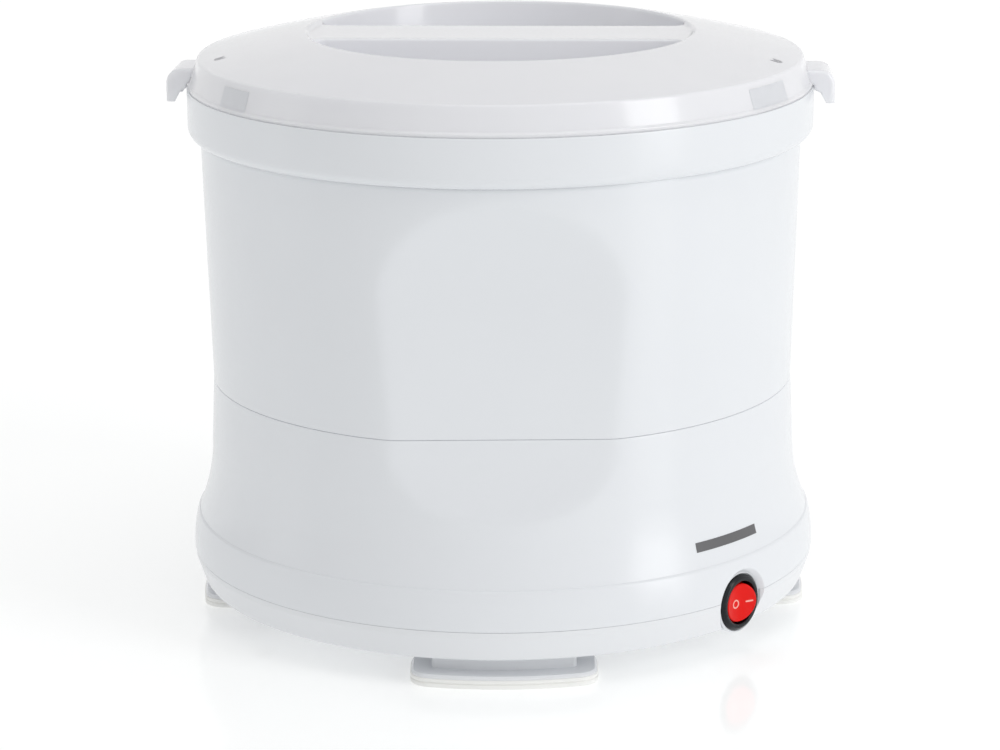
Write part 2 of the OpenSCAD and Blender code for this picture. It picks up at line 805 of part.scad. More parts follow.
// The plate and the neck of one foot of the bottom cover.
module foot(w) {
    edge = 0.5;
    slope = 0.8;
    translate([0, 0, pad_h]) hull() {
        foot_layer(w, edge, edge, edge, plate_h - slope);
        foot_layer(w, edge + slope, edge + slope, edge, plate_h);
    }
    translate([0, 0, pad_h]) foot_layer(w, neck_in, neck_end, 2, plate_h + neck_h + tiny);
}

module foot_pad(w) {
    lip = 1.6;
    groove_h = 0.7;
    groove = 0.6;
    rim = 4;
    hollow = 0.8;
    difference() {
        union() {
            foot_layer(w, 0, 0, 0, lip);
            foot_layer(w, groove, groove, groove, lip + groove_h + tiny);
            translate([0, 0, lip + groove_h]) foot_layer(w, 0, 0, 0, pad_h - lip - groove_h);
        }
        translate([0, 0, -over]) foot_layer(w, rim, rim, rim, over + hollow);
    }
}

module foot_pads() {
    color([0.86, 0.87, 0.85]) {
        front_and_back() foot_pad(pad_w);
        left_and_right() foot_pad(side_pad_w);
    }
}

module plain_badge() {
    badge_w = 37;
    badge_h = 4.2;
    badge_z = flare_z + 8.3;
    badge_t = 0.35;
    badge_cut = flare_r / 8;
    color([0.45, 0.46, 0.48]) intersection() {
        difference() {
            base_fill(-badge_t);
            base_fill(0);
        }
        rotate([0, 0, switch_az - 1.8]) translate([-badge_w / 2, -flare_r - over, badge_z - badge_h / 2])
            cube([badge_w, badge_cut, badge_h]);
    }
}

// ---- Drive ----

module drive_spindle() {
    color([0.75, 0.76, 0.78]) difference() {
        translate([0, 0, spindle_low]) cylinder(h = spindle_top - spindle_low, r = spindle_r);
        translate([0, 0, clip_z - fit]) ring(spindle_r + over, spindle_r - 0.9, clip_t + 2 * fit);
    }
}

module drive_coupling() {
    color([0.2, 0.2, 0.22]) difference() {
        translate([0, 0, hex_z]) cylinder(h = hex_h, r = hex_w / 2, $fn = 6);
        translate([0, 0, hex_z - over]) cylinder(h = spindle_top - hex_z + over + gap, r = spindle_r + fit);
    }
}

module splash_cap() {
    color([0.15, 0.15, 0.16])
        translate([0, 0, cap_z]) ring(cap_r, spindle_r + fit, cap_t);
}

module shaft_seal() {
    color([0.2, 0.12, 0.1])
        translate([0, 0, chimney_top - 3]) ring(bush_r, spindle_r + gap, 2.8);
}

module spindle_bushes() {
    color([0.72, 0.55, 0.3]) for (z = [chimney_low, chimney_top - bush_len - 4])
        translate([0, 0, z]) ring(bush_r, spindle_r + fit, bush_len);
}

module thrust_washer() {
    color([0.8, 0.8, 0.82])
        translate([0, 0, pulley_top + fit]) ring(bush_r, spindle_r + fit, washer_t);
}

// A flat belt pulley with two flanges; z = 0 is its lower face.
module pulley_rim(r, bore) {
    difference() {
        union() {
            cylinder(h = pulley_w + 2 * pulley_flange, r = r);
            cylinder(h = pulley_flange, r = r + flange_over);
            translate([0, 0, pulley_w + pulley_flange]) cylinder(h = pulley_flange, r = r + flange_over);
        }
        translate([0, 0, -over]) cylinder(h = pulley_w + 2 * pulley_flange + 2 * over, r = bore);
    }
}

module large_pulley() {
    rim_w = 3;
    hub_wall = 5;
    holes = 6;
    color([0.88, 0.86, 0.8]) {
        translate([0, 0, pulley_low]) pulley_rim(big_pulley_r, big_pulley_r - rim_w);
        translate([0, 0, hub_low]) ring(spindle_r + hub_wall, spindle_r + fit, pulley_top - hub_low);
        translate([0, 0, pulley_low + 3]) difference() {
            ring(big_pulley_r - rim_w + tiny, spindle_r + hub_wall - tiny, 3);
            at_angles([for (i = [0:holes - 1]) i * 360 / holes], big_pulley_r * 0.56)
                translate([0, 0, -over]) cylinder(h = 3 + 2 * over, r = 8);
        }
    }
}

module circlip() {
    color([0.3, 0.3, 0.32]) translate([0, 0, clip_z]) difference() {
        ring(spindle_r + 2.8, spindle_r - 0.8, clip_t);
        translate([0, -1.5, -over]) cube([spindle_r + 4, 3, clip_t + 2 * over]);
    }
}

// Outline of a belt loop that runs grow outside both pulleys.
module belt_loop(grow) {
    big = big_pulley_r + grow;
    small = small_pulley_r + grow;
    c = cos(belt_angle);
    s = sin(belt_angle);
    circle(r = big, $fn = 180);
    translate([-shaft_dist, 0]) circle(r = small);
    polygon([[-big * c, big * s], [-shaft_dist - small * c, small * s],
             [-shaft_dist - small * c, -small * s], [-big * c, -big * s]]);
}

module drive_belt() {
    color([0.1, 0.1, 0.1]) translate([0, 0, belt_z]) linear_extrude(height = belt_w) difference() {
        belt_loop(gap + belt_t);
        belt_loop(gap);
    }
}

module small_pulley() {
    color([0.88, 0.86, 0.8]) at_motor() translate([0, 0, pulley_low])
        pulley_rim(small_pulley_r, shaft_r + fit);
}

// ---- Motor ----

module motor_bracket() {
    pad = 8;
    color([0.7, 0.71, 0.73]) translate([0, 0, plate_z]) difference() {
        linear_extrude(height = plate_t) union() {
            polygon([posts[0], posts[1], posts[3], posts[2]]);
            for (p = posts) translate(p) circle(r = pad);
        }
        for (p = posts) translate([p[0], p[1], -over]) cylinder(h = plate_t + 2 * over, r = screw_hole_r);
        at_motor() {
            translate([0, 0, -over]) cylinder(h = plate_t + 2 * over, r = bearing_r + 2);
            for (y = [-motor_screw_y, motor_screw_y])
                translate([0, y, -over]) cylinder(h = plate_t + 2 * over, r = bolt_r + 0.3);
        }
    }
}

module bracket_grommets() {
    color([0.12, 0.12, 0.12]) for (p = posts)
        translate([p[0], p[1], plate_top]) ring(grommet_r, screw_hole_r, grommet_t);
}

module bracket_screws() {
    color([0.8, 0.8, 0.82]) for (p = posts)
        translate([p[0], p[1], plate_z]) screw_up(plate_t + grommet_t + screw_bite, pilot_r, head_r, head_h);
}

module motor_screws() {
    color([0.8, 0.8, 0.82]) at_motor() for (y = [-motor_screw_y, motor_screw_y])
        translate([0, y, plate_top]) mirror([0, 0, 1])
            screw_up(plate_t + end_t - 0.5, bolt_r, 2 * bolt_r, 2);
}

module core_outline() {
    intersection() {
        square([core_x, core_y], center = true);
        circle(r = core_corner_r);
    }
}

module at_bolts() {
    for (x = [-bolt_x, bolt_x], y = [-bolt_y, bolt_y]) translate([x, y, 0]) children();
}

module upper_end_plate() {
    color([0.72, 0.73, 0.75]) at_motor() difference() {
        union() {
            translate([0, 0, plate_z - end_t]) linear_extrude(height = end_t) core_outline();
            at_bolts() translate([0, 0, core_top]) cylinder(h = plate_z - end_t - core_top + tiny, r = leg_r);
        }
        translate([0, 0, plate_z - end_t - over]) cylinder(h = end_t + 2 * over, r = bearing_r + tiny);
        at_bolts() translate([0, 0, core_top - over]) cylinder(h = plate_z - core_top + 2 * over, r = bolt_r + 0.1);
        for (y = [-motor_screw_y, motor_screw_y])
            translate([0, y, plate_z - end_t - over]) cylinder(h = end_t + 2 * over, r = bolt_r + fit);
    }
}

module lower_end_plate() {
    color([0.72, 0.73, 0.75]) at_motor() difference() {
        union() {
            translate([0, 0, end_low_z]) linear_extrude(height = end_t) core_outline();
            at_bolts() translate([0, 0, end_low - tiny]) cylinder(h = core_z - end_low + tiny, r = leg_r);
        }
        translate([0, 0, end_low_z - over]) cylinder(h = end_t + 2 * over, r = bearing_r + tiny);
        at_bolts() translate([0, 0, end_low_z - over]) cylinder(h = core_z - end_low_z + 2 * over, r = bolt_r + 0.1);
    }
}

module through_bolts() {
    color([0.8, 0.8, 0.82]) at_motor() at_bolts()
        translate([0, 0, end_low_z]) screw_up(plate_z - end_low_z - 0.4, bolt_r, 2 * bolt_r, 2.4);
}

module stator_core() {
    color([0.5, 0.51, 0.53]) at_motor() translate([0, 0, core_z]) difference() {
        linear_extrude(height = core_h) difference() {
            core_outline();
            circle(r = armature_r + air_gap);
            for (x = [-1, 1], y = [-1, 1])
                translate([x * (slot_x + slot_w / 2), y * (slot_y + slot_d / 2)])
                    square([slot_w, slot_d], center = true);
        }
        at_bolts() translate([0, 0, -over]) cylinder(h = core_h + 2 * over, r = bolt_r + 0.1);
    }
}

// Each coil runs up one slot, over its pole and down the other slot.
module field_coils() {
    leg_w = slot_w - 2 * coil_inset;
    leg_d = slot_d - 2 * coil_inset;
    end_y = armature_r - 0.7;
    end_d = slot_y + slot_d - coil_inset - end_y;
    span = 2 * (slot_x + slot_w - coil_inset);
    turn = 4;
    color([0.72, 0.42, 0.2]) at_motor() for (side = [0, 180]) rotate([0, 0, side]) {
        for (x = [-1, 1])
            translate([x * (slot_x + slot_w / 2) - leg_w / 2, slot_y + coil_inset, core_z - turn])
                cube([leg_w, leg_d, core_h + 2 * turn]);
        for (z = [core_z - turn, core_top + gap])
            translate([-span / 2, end_y, z]) cube([span, end_d, turn - gap]);
    }
}

module motor_shaft() {
    color([0.75, 0.76, 0.78]) at_motor()
        translate([0, 0, shaft_low]) cylinder(h = shaft_top - shaft_low, r = shaft_r);
}

module armature() {
    color([0.6, 0.4, 0.25]) at_motor() difference() {
        union() {
            translate([0, 0, core_z]) cylinder(h = core_h, r = armature_r);
            translate([0, 0, core_z - armature_over])
                cylinder(h = core_h + 2 * armature_over - 0.5, r = armature_r - 1.5);
        }
        translate([0, 0, core_z - armature_over - over])
            cylinder(h = core_h + 2 * armature_over + 2 * over, r = shaft_r + fit);
    }
}

module commutator() {
    color([0.8, 0.5, 0.3]) at_motor()
        translate([0, 0, commutator_z]) ring(commutator_r, shaft_r + fit, commutator_h);
}

module motor_bearings() {
    color([0.72, 0.55, 0.3]) at_motor() for (z = [plate_z - end_t, end_low - bearing_len])
        translate([0, 0, z]) ring(bearing_r, shaft_r + fit, bearing_len);
}

module brush_holders() {
    side = brush_side + 2 * holder_wall;
    color([0.78, 0.65, 0.35]) at_motor() for (a = [0, 180]) rotate([0, 0, a])
        translate([holder_in, 0, end_low]) difference() {
            translate([0, -side / 2, 0]) cube([holder_len, side, side]);
            translate([-over, -brush_side / 2 - fit, holder_wall - fit])
                cube([holder_len + 2 * over, brush_side + 2 * fit, brush_side + 2 * fit]);
        }
}

module carbon_brushes() {
    color([0.2, 0.2, 0.2]) at_motor() for (a = [0, 180]) rotate([0, 0, a])
        translate([commutator_r + gap, -brush_side / 2, end_low + holder_wall])
            cube([brush_len, brush_side, brush_side]);
}

module cooling_fan() {
    hub = shaft_r + 2.5;
    back = 1.4;
    blade = 1.4;
    color([0.16, 0.16, 0.18]) at_motor() translate([0, 0, fan_z]) difference() {
        union() {
            cylinder(h = fan_h, r = hub);
            translate([0, 0, fan_h - back]) cylinder(h = back, r = fan_r);
            for (i = [0:fan_blades - 1]) rotate([0, 0, i * 360 / fan_blades])
                translate([hub - 0.5, -blade / 2, 0]) cube([fan_r - hub - 0.5, blade, fan_h - back + tiny]);
        }
        translate([0, 0, -over]) cylinder(h = fan_h + 2 * over, r = shaft_r + fit);
    }
}

// ---- Fasteners, switch and electrics ----

module housing_screws() {
    color([0.8, 0.8, 0.82]) at_angles(lug_angles, lug_r)
        translate([0, 0, lug_z]) screw_up(lug_t + screw_bite, pilot_r, head_r, head_h);
}

module cover_screws() {
    color([0.8, 0.8, 0.82]) at_angles(cover_screw_angles, cover_screw_r)
        translate([0, 0, base_z + turret_h - turret_top]) screw_up(turret_top + cover_screw_bite, pilot_r, head_r, head_h);
}

module switch_body() {
    color([0.04, 0.04, 0.05]) at_switch() difference() {
        union() {
            rotate_extrude() polygon([[0, 0], [bezel_r, 0], [bezel_r, 0.7], [bezel_r - 0.6, 1.3],
                [bezel_hole_r + 1.2, bezel_t], [0, bezel_t]]);
            translate([0, 0, -switch_body_h]) cylinder(h = switch_body_h + tiny, r = switch_body_r);
        }
        translate([0, 0, rocker_low - 2]) cylinder(h = 20, r = bezel_hole_r);
        translate([0, pin_out + 2 * fit, pivot_n]) rotate([90, 0, 0])
            cylinder(h = 2 * (pin_out + 2 * fit), r = pin_r + fit, $fn = 48);
    }
}

module rocker() {
    hinge_h = rocker_top - pivot_n;
    color([0.75, 0.02, 0.03]) at_switch() translate([0, 0, pivot_n]) rotate([0, -rocker_tilt, 0]) {
        intersection() {
            translate([0, 0, rocker_low - pivot_n]) cylinder(h = 20, r = rocker_r);
            rotate([90, 0, 0]) translate([0, 0, -20]) linear_extrude(height = 40) difference() {
                polygon([[-rocker_r, 0], [-3, rocker_low - pivot_n], [3, rocker_low - pivot_n], [rocker_r, 0],
                         [rocker_r, hinge_h], [-rocker_r, hinge_h]]);
                translate([0, hinge_h - 1.2 + rocker_dish_r]) circle(r = rocker_dish_r, $fn = 180);
            }
        }
        translate([0, pin_out, 0]) rotate([90, 0, 0]) cylinder(h = 2 * pin_out, r = pin_r, $fn = 48);
    }
}

module switch_terminals() {
    color([0.85, 0.8, 0.6]) at_switch() for (x = [-6, 0, 6])
        translate([x - 0.4, -2.4, -switch_body_h - terminal_l]) cube([0.8, 4.8, terminal_l]);
}

module cord_gland() {
    color([0.9, 0.9, 0.89]) at_gland() difference() {
        union() {
            translate([0, 0, -gland_inner]) cylinder(h = gland_inner + tiny, r = gland_r);
            cylinder(h = gland_flange_t, r = gland_flange_r);
        }
        translate([0, 0, -gland_inner - over])
            cylinder(h = gland_inner + gland_flange_t + 2 * over, r = gland_bore_r);
    }
}

module terminal_block() {
    ways = 3;
    pitch = 11;
    depth = 18;
    base = 8;
    tower = 5;
    color([0.9, 0.9, 0.86]) translate(concat(terminal_at, [base_z + cover_wall])) difference() {
        union() {
            cube([ways * pitch, depth, base]);
            for (i = [0:ways - 1]) translate([(i + 0.14) * pitch, 0, base - tiny])
                cube([pitch * 0.72, depth, tower]);
        }
        for (i = [0:ways - 1]) translate([(i + 0.5) * pitch, -over, base - 2]) rotate([-90, 0, 0])
            cylinder(h = depth + 2 * over, r = 2, $fn = 48);
    }
}

module suppressor_capacitor() {
    color([0.75, 0.65, 0.2]) translate(concat(capacitor_at, [base_z + cover_wall])) cube(capacitor_size);
}

lid();
bowl();
slide_ring();
peeling_disc();
abrasive_coat();
tub_housing();
base_housing();
bottom_cover();
foot_pads();
plain_badge();
drive_spindle();
drive_coupling();
splash_cap();
shaft_seal();
spindle_bushes();
thrust_washer();
large_pulley();
circlip();
drive_belt();
small_pulley();
motor_bracket();
bracket_grommets();
bracket_screws();
motor_screws();
upper_end_plate();
lower_end_plate();
through_bolts();
stator_core();
field_coils();
motor_shaft();
armature();
commutator();
motor_bearings();
brush_holders();
carbon_brushes();
cooling_fan();
housing_screws();
cover_screws();
switch_body();
rocker();
switch_terminals();
cord_gland();
terminal_block();
suppressor_capacitor();
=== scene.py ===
# %% [markdown]
# # Dressing an electric drum peeler
#
# The machine arrives as a packed set of exact solids, one for each real piece. They say where
# everything is and how it moves. This lesson makes it look like a real one: smooth moulded
# shells, a milky see-through lid, a glossy round switch, and finishes for every piece inside.
# Everything is in metres, +Z is up, and the front, with the switch, is towards -Y.

import json
import math

import bmesh
import bpy
import numpy as np
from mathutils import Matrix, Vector


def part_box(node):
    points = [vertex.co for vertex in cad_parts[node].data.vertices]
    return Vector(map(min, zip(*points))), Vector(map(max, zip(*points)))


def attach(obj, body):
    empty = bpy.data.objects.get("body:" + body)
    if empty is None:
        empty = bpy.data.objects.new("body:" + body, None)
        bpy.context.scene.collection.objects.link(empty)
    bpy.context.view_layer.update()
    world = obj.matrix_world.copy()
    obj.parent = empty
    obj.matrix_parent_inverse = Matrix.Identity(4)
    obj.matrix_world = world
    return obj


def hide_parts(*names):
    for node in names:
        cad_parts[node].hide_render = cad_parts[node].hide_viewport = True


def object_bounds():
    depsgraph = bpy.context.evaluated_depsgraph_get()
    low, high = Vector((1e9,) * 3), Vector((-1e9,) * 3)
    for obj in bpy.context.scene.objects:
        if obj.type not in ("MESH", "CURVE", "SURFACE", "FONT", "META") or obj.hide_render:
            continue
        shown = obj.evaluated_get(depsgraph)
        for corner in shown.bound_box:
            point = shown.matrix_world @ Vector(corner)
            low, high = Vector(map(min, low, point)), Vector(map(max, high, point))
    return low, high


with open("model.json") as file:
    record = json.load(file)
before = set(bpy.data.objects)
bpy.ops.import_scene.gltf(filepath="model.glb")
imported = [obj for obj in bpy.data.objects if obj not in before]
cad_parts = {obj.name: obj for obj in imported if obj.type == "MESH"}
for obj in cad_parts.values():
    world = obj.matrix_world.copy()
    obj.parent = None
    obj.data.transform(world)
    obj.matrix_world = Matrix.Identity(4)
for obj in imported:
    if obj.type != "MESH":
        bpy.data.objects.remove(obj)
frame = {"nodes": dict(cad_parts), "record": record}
cad_low, cad_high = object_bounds()
record = frame["record"]
print("box:", [round(v, 4) for v in (*cad_low, *cad_high)])

# %% [markdown]
# ## The camera
#
# The object is seen from a little above, from far off with a long lens, so that its upright
# walls stay almost parallel. The camera's place comes from fitting circles to the rims of the
# real thing. A turn of 0.4 degrees about the line of sight lifts one side slightly.

# %% Camera
CAMERA_AT = (-0.00043, -1.353, 0.449)
CAMERA_DOWN = math.radians(14.72)
CAMERA_ROLL = math.radians(-0.376)
CAMERA_LENS = 120.2
CAMERA_SHIFT = -0.0012
SENSOR_W, SIGHT = 36.0, 50.0

camera_data = bpy.data.cameras.new("camera")
camera_data.sensor_width = SENSOR_W
camera_data.lens = CAMERA_LENS
camera_data.shift_x = CAMERA_SHIFT
camera_data.clip_end = SIGHT
camera = bpy.data.objects.new("camera", camera_data)
camera.location = CAMERA_AT
camera.rotation_mode = "ZYX"
camera.rotation_euler = (math.pi / 2 - CAMERA_DOWN, 0.0, CAMERA_ROLL)
bpy.context.scene.collection.objects.link(camera)
bpy.context.scene.camera = camera
print("camera at", CAMERA_AT, "lens", CAMERA_LENS)

# %% [markdown]
# ## Surfaces from arrays
#
# A moulded shell is a profile carried round an axis or along a path, so each one is a grid of
# points: the rows go along the profile and the columns go round. The helpers below turn such a
# grid into faces and turn a closed surface the right way out.


# %% Grids and parts
def grid_faces(rows, cols, loop_rows, loop_cols):
    """Quads of a grid: each joins point (i, j) to (i, j+1), (i+1, j+1) and (i+1, j)."""
    i = np.arange(rows if loop_rows else rows - 1)
    j = np.arange(cols if loop_cols else cols - 1)
    i, j = np.meshgrid(i, j, indexing="ij")
    below, beside = (i + 1) % rows, (j + 1) % cols
    quads = [i * cols + j, i * cols + beside, below * cols + beside, below * cols + j]
    return np.stack(quads, axis=-1).reshape(-1, 4)


def signed_volume(points, quads):
    """Sum over the quads of a . (b x c) + a . (c x d), over 6: positive if they face outwards."""
    a, b, c, d = (points[quads[:, k]] for k in range(4))
    return (np.einsum("ij,ij", a, np.cross(b, c)) + np.einsum("ij,ij", a, np.cross(c, d))) / 6


def part(points, loop_rows=True, loop_cols=True, flip=None):
    """One surface of a piece, from a rows x columns x 3 array of points. A closed one is turned
    the right way out by its volume; for an open one, flip says whether to turn it over."""
    rows, cols = points.shape[:2]
    flat = points.reshape(-1, 3)
    quads = grid_faces(rows, cols, loop_rows, loop_cols)
    if flip is None:
        flip = signed_volume(flat - flat.mean(axis=0), quads) < 0
    return flat, quads[:, ::-1] if flip else quads


square = np.array([[(0.0, 0.0, 0.0), (1.0, 0.0, 0.0)], [(0.0, 1.0, 0.0), (1.0, 1.0, 0.0)]])
print("a square of four points:", part(square, False, False, flip=True)[1].tolist())

# %% [markdown]
# A piece may have several parts, such as a shell and its bosses. They go into one mesh, whole
# arrays at a time. Then points that lie on each other are joined, and edges that turn sharply
# are marked, so that the soft rounds shade softly and the corners stay crisp.

# %% Meshes and pieces
WELD, CREASE = 1e-6, math.radians(38)


def new_mesh(name, parts, weld=WELD, crease=CREASE):
    """One mesh from several parts. Points closer than weld become one, which closes the poles
    and seams, and edges that turn by more than crease stay sharp."""
    starts = np.cumsum([0] + [len(p[0]) for p in parts[:-1]])
    points = np.concatenate([p[0] for p in parts])
    quads = np.concatenate([p[1] + s for p, s in zip(parts, starts)])
    mesh = bpy.data.meshes.new(name)
    mesh.vertices.add(len(points))
    mesh.vertices.foreach_set("co", points.astype(np.float32).ravel())
    mesh.loops.add(quads.size)
    mesh.loops.foreach_set("vertex_index", quads.astype(np.int32).ravel())
    mesh.polygons.add(len(quads))
    mesh.polygons.foreach_set("loop_start", np.arange(0, quads.size, 4, dtype=np.int32))
    mesh.update(calc_edges=True)
    work = bmesh.new()
    work.from_mesh(mesh)
    bmesh.ops.remove_doubles(work, verts=work.verts, dist=weld)
    bmesh.ops.dissolve_degenerate(work, edges=work.edges, dist=weld / 10)
    work.to_mesh(mesh)
    work.free()
    mesh.polygons.foreach_set("use_smooth", np.ones(len(mesh.polygons), bool))
    mesh.set_sharp_from_angle(angle=crease)
    mesh.validate()
    return mesh


def new_piece(name, parts, body, material, slot, replaces=(), **kwargs):
    """A piece that moves with a body, has one material and may stand for a solid."""
    piece = bpy.data.objects.new(name, new_mesh(name, parts, **kwargs))
    bpy.context.scene.collection.objects.link(piece)
    piece.data.materials.append(material)
    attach(piece, body)
    if replaces:
        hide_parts(*replaces)
    print(f"{name}: {len(piece.data.polygons)} faces on {body}")
    return piece


print("edges that turn by more than", round(math.degrees(CREASE)), "degrees stay sharp")

# %% [markdown]
# Moulded pieces have no sharp corners. `rounded` takes the corners of a profile, each with the
# radius of its round, and gives the points of the rounded outline. The arc of radius r in a
# corner starts r / tan(half the corner's angle) from it along both sides.


# %% Rounded outlines
def rounded(corners, steps=5, closed=True):
    """Points of an outline through corners (x, y, radius). Every corner gives steps + 1 points
    on its arc, so the array's size doesn't depend on the radii."""
    corner = np.array(corners, float)
    p, r = corner[:, :2], corner[:, 2]
    before, after = np.roll(p, 1, axis=0) - p, np.roll(p, -1, axis=0) - p
    before /= np.linalg.norm(before, axis=1, keepdims=True)
    after /= np.linalg.norm(after, axis=1, keepdims=True)
    half = np.arccos(np.clip(np.einsum("ij,ij->i", before, after), -1, 1)) / 2
    straight = (half > math.radians(89.9)) | (r <= 0)
    if not closed:
        straight[[0, -1]] = True
    half = np.where(straight, math.radians(45), half)
    middle = before + after
    middle /= np.maximum(np.linalg.norm(middle, axis=1, keepdims=True), 1e-9)
    centre = p + middle * (r / np.sin(half))[:, None]
    start = p + before * (r / np.tan(half))[:, None] - centre
    end = p + after * (r / np.tan(half))[:, None] - centre
    t = np.linspace(0, 1, steps + 1)
    sweep = math.pi - 2 * half
    a = np.sin((1 - t) * sweep[:, None]) / np.sin(sweep)[:, None]
    b = np.sin(t * sweep[:, None]) / np.sin(sweep)[:, None]
    arc = centre[:, None] + a[..., None] * start[:, None] + b[..., None] * end[:, None]
    out = np.where(straight[:, None, None], p[:, None], arc)
    return out.reshape(-1, 2)


square = rounded([(0, 0, 0.1), (1, 0, 0.1), (1, 1, 0.1), (0, 1, 0.1)])
print("a rounded square has", len(square), "points, the first at", square[0].round(3))


# %% [markdown]
# Round pieces are such an outline turned about an upright axis. Those of the switch are made
# the same way and then laid over, to point out of the wall.


# %% Turned surfaces
def revolve(profile, segments=96, centre=(0.0, 0.0)):
    """A profile of (radius, height) points turned about an upright axis through centre."""
    angle = np.linspace(0, 2 * math.pi, segments, endpoint=False)
    r, z = profile[:, 0, None], profile[:, 1, None]
    x, y = centre[0] + r * np.cos(angle), centre[1] + r * np.sin(angle)
    return np.stack([x, y, np.broadcast_to(z, x.shape)], axis=-1)


print("the square turned:", revolve(square + (1, 0)).shape)

# %% [markdown]
# ## Light and floor
#
# White plastic on white shows its form only through soft gradients, so the light is a bright
# even surround with one broad lamp on each side and one above. The surround looks pure white
# to the camera, and in reflections, but lights the object less than that, which leaves room
# for the lamps. The floor is glossy white: it keeps the shadow and a faint mirror image.

# %% World
SURROUND = 0.57

scene = bpy.context.scene
scene.view_settings.view_transform = "Standard"
world = bpy.data.worlds.new("surround")
world.use_nodes = True
scene.world = world
nodes, links = world.node_tree.nodes, world.node_tree.links
nodes.clear()


def larger_of(nodes, links, first, second):
    """The larger of two outputs, by a maths node."""
    larger = nodes.new("ShaderNodeMath")
    larger.operation = "MAXIMUM"
    links.new(first, larger.inputs[0])
    links.new(second, larger.inputs[1])
    return larger.outputs[0]


path = nodes.new("ShaderNodeLightPath").outputs
seen = larger_of(nodes, links, path["Is Camera Ray"], path["Is Transmission Ray"])
seen_or_mirrored = larger_of(nodes, links, seen, path["Is Glossy Ray"])
strength = nodes.new("ShaderNodeMapRange")
strength.inputs["To Min"].default_value = SURROUND
strength.inputs["To Max"].default_value = 1.0
links.new(seen_or_mirrored, strength.inputs["Value"])
background = nodes.new("ShaderNodeBackground")
background.inputs["Color"].default_value = (1.0, 1.0, 1.0, 1.0)
links.new(strength.outputs["Result"], background.inputs["Strength"])
world_out = nodes.new("ShaderNodeOutputWorld")
links.new(background.outputs[0], world_out.inputs["Surface"])
print("surround at", SURROUND)

# %% [markdown]
# The lamps are broad panels, so that their mirror images on the gloss are soft bands. The
# strongest stands at the right, a weak one at the left, and one above lights the lid.

# %% Lamps
LAMPS = {
    "lamp_right": {"at": (1.65, -1.05, 0.80), "size": (0.7, 1.6), "watts": 12.0},
    "lamp_left": {"at": (-1.8, -0.1, 0.8), "size": (0.7, 1.6), "watts": 1.5},
    "lamp_top": {"at": (0.2, -0.3, 1.9), "size": (1.6, 1.2), "watts": 6.2},
}
AIM = (0.0, 0.0, 0.12)

for name, lamp in LAMPS.items():
    light = bpy.data.lights.new(name, "AREA")
    light.shape = "RECTANGLE"
    light.size, light.size_y = lamp["size"]
    light.energy = lamp["watts"]
    holder = bpy.data.objects.new(name, light)
    holder.location = lamp["at"]
    towards = Vector(AIM) - Vector(lamp["at"])
    holder.rotation_euler = towards.to_track_quat("-Z", "Y").to_euler()
    scene.collection.objects.link(holder)
print("lamps:", ", ".join(LAMPS))

# %% [markdown]
# ## Materials
#
# A finish is more than a colour: moulded plastic, worked metal and grit differ in how colour,
# gloss and relief vary over them. Pictures could carry that, but they need unwrapped surfaces
# and blur close up. Noise worked out from the place on the object fits any shape at any size,
# so every finish here is made of the few building blocks below.


# %% A small kit of nodes
def new_material(name):
    """A node material with a bare shader: (material, nodes, links, shader, coordinates)."""
    material = bpy.data.materials.new(name)
    material.use_nodes = True
    nodes, links = material.node_tree.nodes, material.node_tree.links
    nodes.clear()
    shader = nodes.new("ShaderNodeBsdfPrincipled")
    out = nodes.new("ShaderNodeOutputMaterial")
    links.new(shader.outputs[0], out.inputs["Surface"])
    coordinates = nodes.new("ShaderNodeTexCoord")
    return material, nodes, links, shader, coordinates


def add_noise(nodes, links, coordinates, scale, detail=3.0, stretch=(1.0, 1.0, 1.0)):
    """A noise on Object coordinates, stretched along the axes. scale is in waves per metre."""
    mapping = nodes.new("ShaderNodeMapping")
    mapping.inputs["Scale"].default_value = stretch
    links.new(coordinates.outputs["Object"], mapping.inputs["Vector"])
    noise = nodes.new("ShaderNodeTexNoise")
    noise.inputs["Scale"].default_value = scale
    noise.inputs["Detail"].default_value = detail
    links.new(mapping.outputs["Vector"], noise.inputs["Vector"])
    return noise.outputs["Fac"]


def add_range(nodes, links, value, low, high, from_low=0.3, from_high=0.7):
    """value, where it runs from from_low to from_high, becomes a number from low to high."""
    ramp = nodes.new("ShaderNodeMapRange")
    ramp.inputs["From Min"].default_value = from_low
    ramp.inputs["From Max"].default_value = from_high
    ramp.inputs["To Min"].default_value = low
    ramp.inputs["To Max"].default_value = high
    links.new(value, ramp.inputs["Value"])
    return ramp.outputs["Result"]


print("nodes for noise and ranges are ready")

# %% [markdown]
# A noise and a range give a number from place to place. Two more helpers make use of it, one
# for colour and one for relief. Relief is a bump, which bends the light and moves no points:
# that is enough for a ripple of a few hundredths of a millimetre.


# %% Colour and relief
def add_tint(nodes, links, value, dark, light):
    """A colour between dark and light, by value."""
    mix = nodes.new("ShaderNodeMix")
    mix.data_type = "RGBA"
    mix.inputs["A"].default_value = (*dark, 1.0)
    mix.inputs["B"].default_value = (*light, 1.0)
    links.new(value, mix.inputs["Factor"])
    return mix.outputs["Result"]


def add_bump(nodes, links, height, shader, strength, distance):
    """Height as fine relief on the shader. distance is the relief's depth in metres."""
    bump = nodes.new("ShaderNodeBump")
    bump.inputs["Strength"].default_value = strength
    bump.inputs["Distance"].default_value = distance
    links.new(height, bump.inputs["Height"])
    links.new(bump.outputs["Normal"], shader.inputs["Normal"])


print("nodes for colour and relief are ready")

# %% [markdown]
# ### Floor
#
# The floor is a white sheet that glows a little, as a light table does, so it blends into the
# white surround and fills the undersides, but still darkens where the object stands. More lamps
# would whiten it too, but they would also wash out the object.

# %% Floor
FLOOR_HALF, FLOOR_LINES = 6.0, 13
FLOOR_COLOUR = (0.78, 0.79, 0.785, 1.0)
FLOOR_GLOW, FLOOR_IOR, FLOOR_WAVES = 0.33, 1.35, 3.0

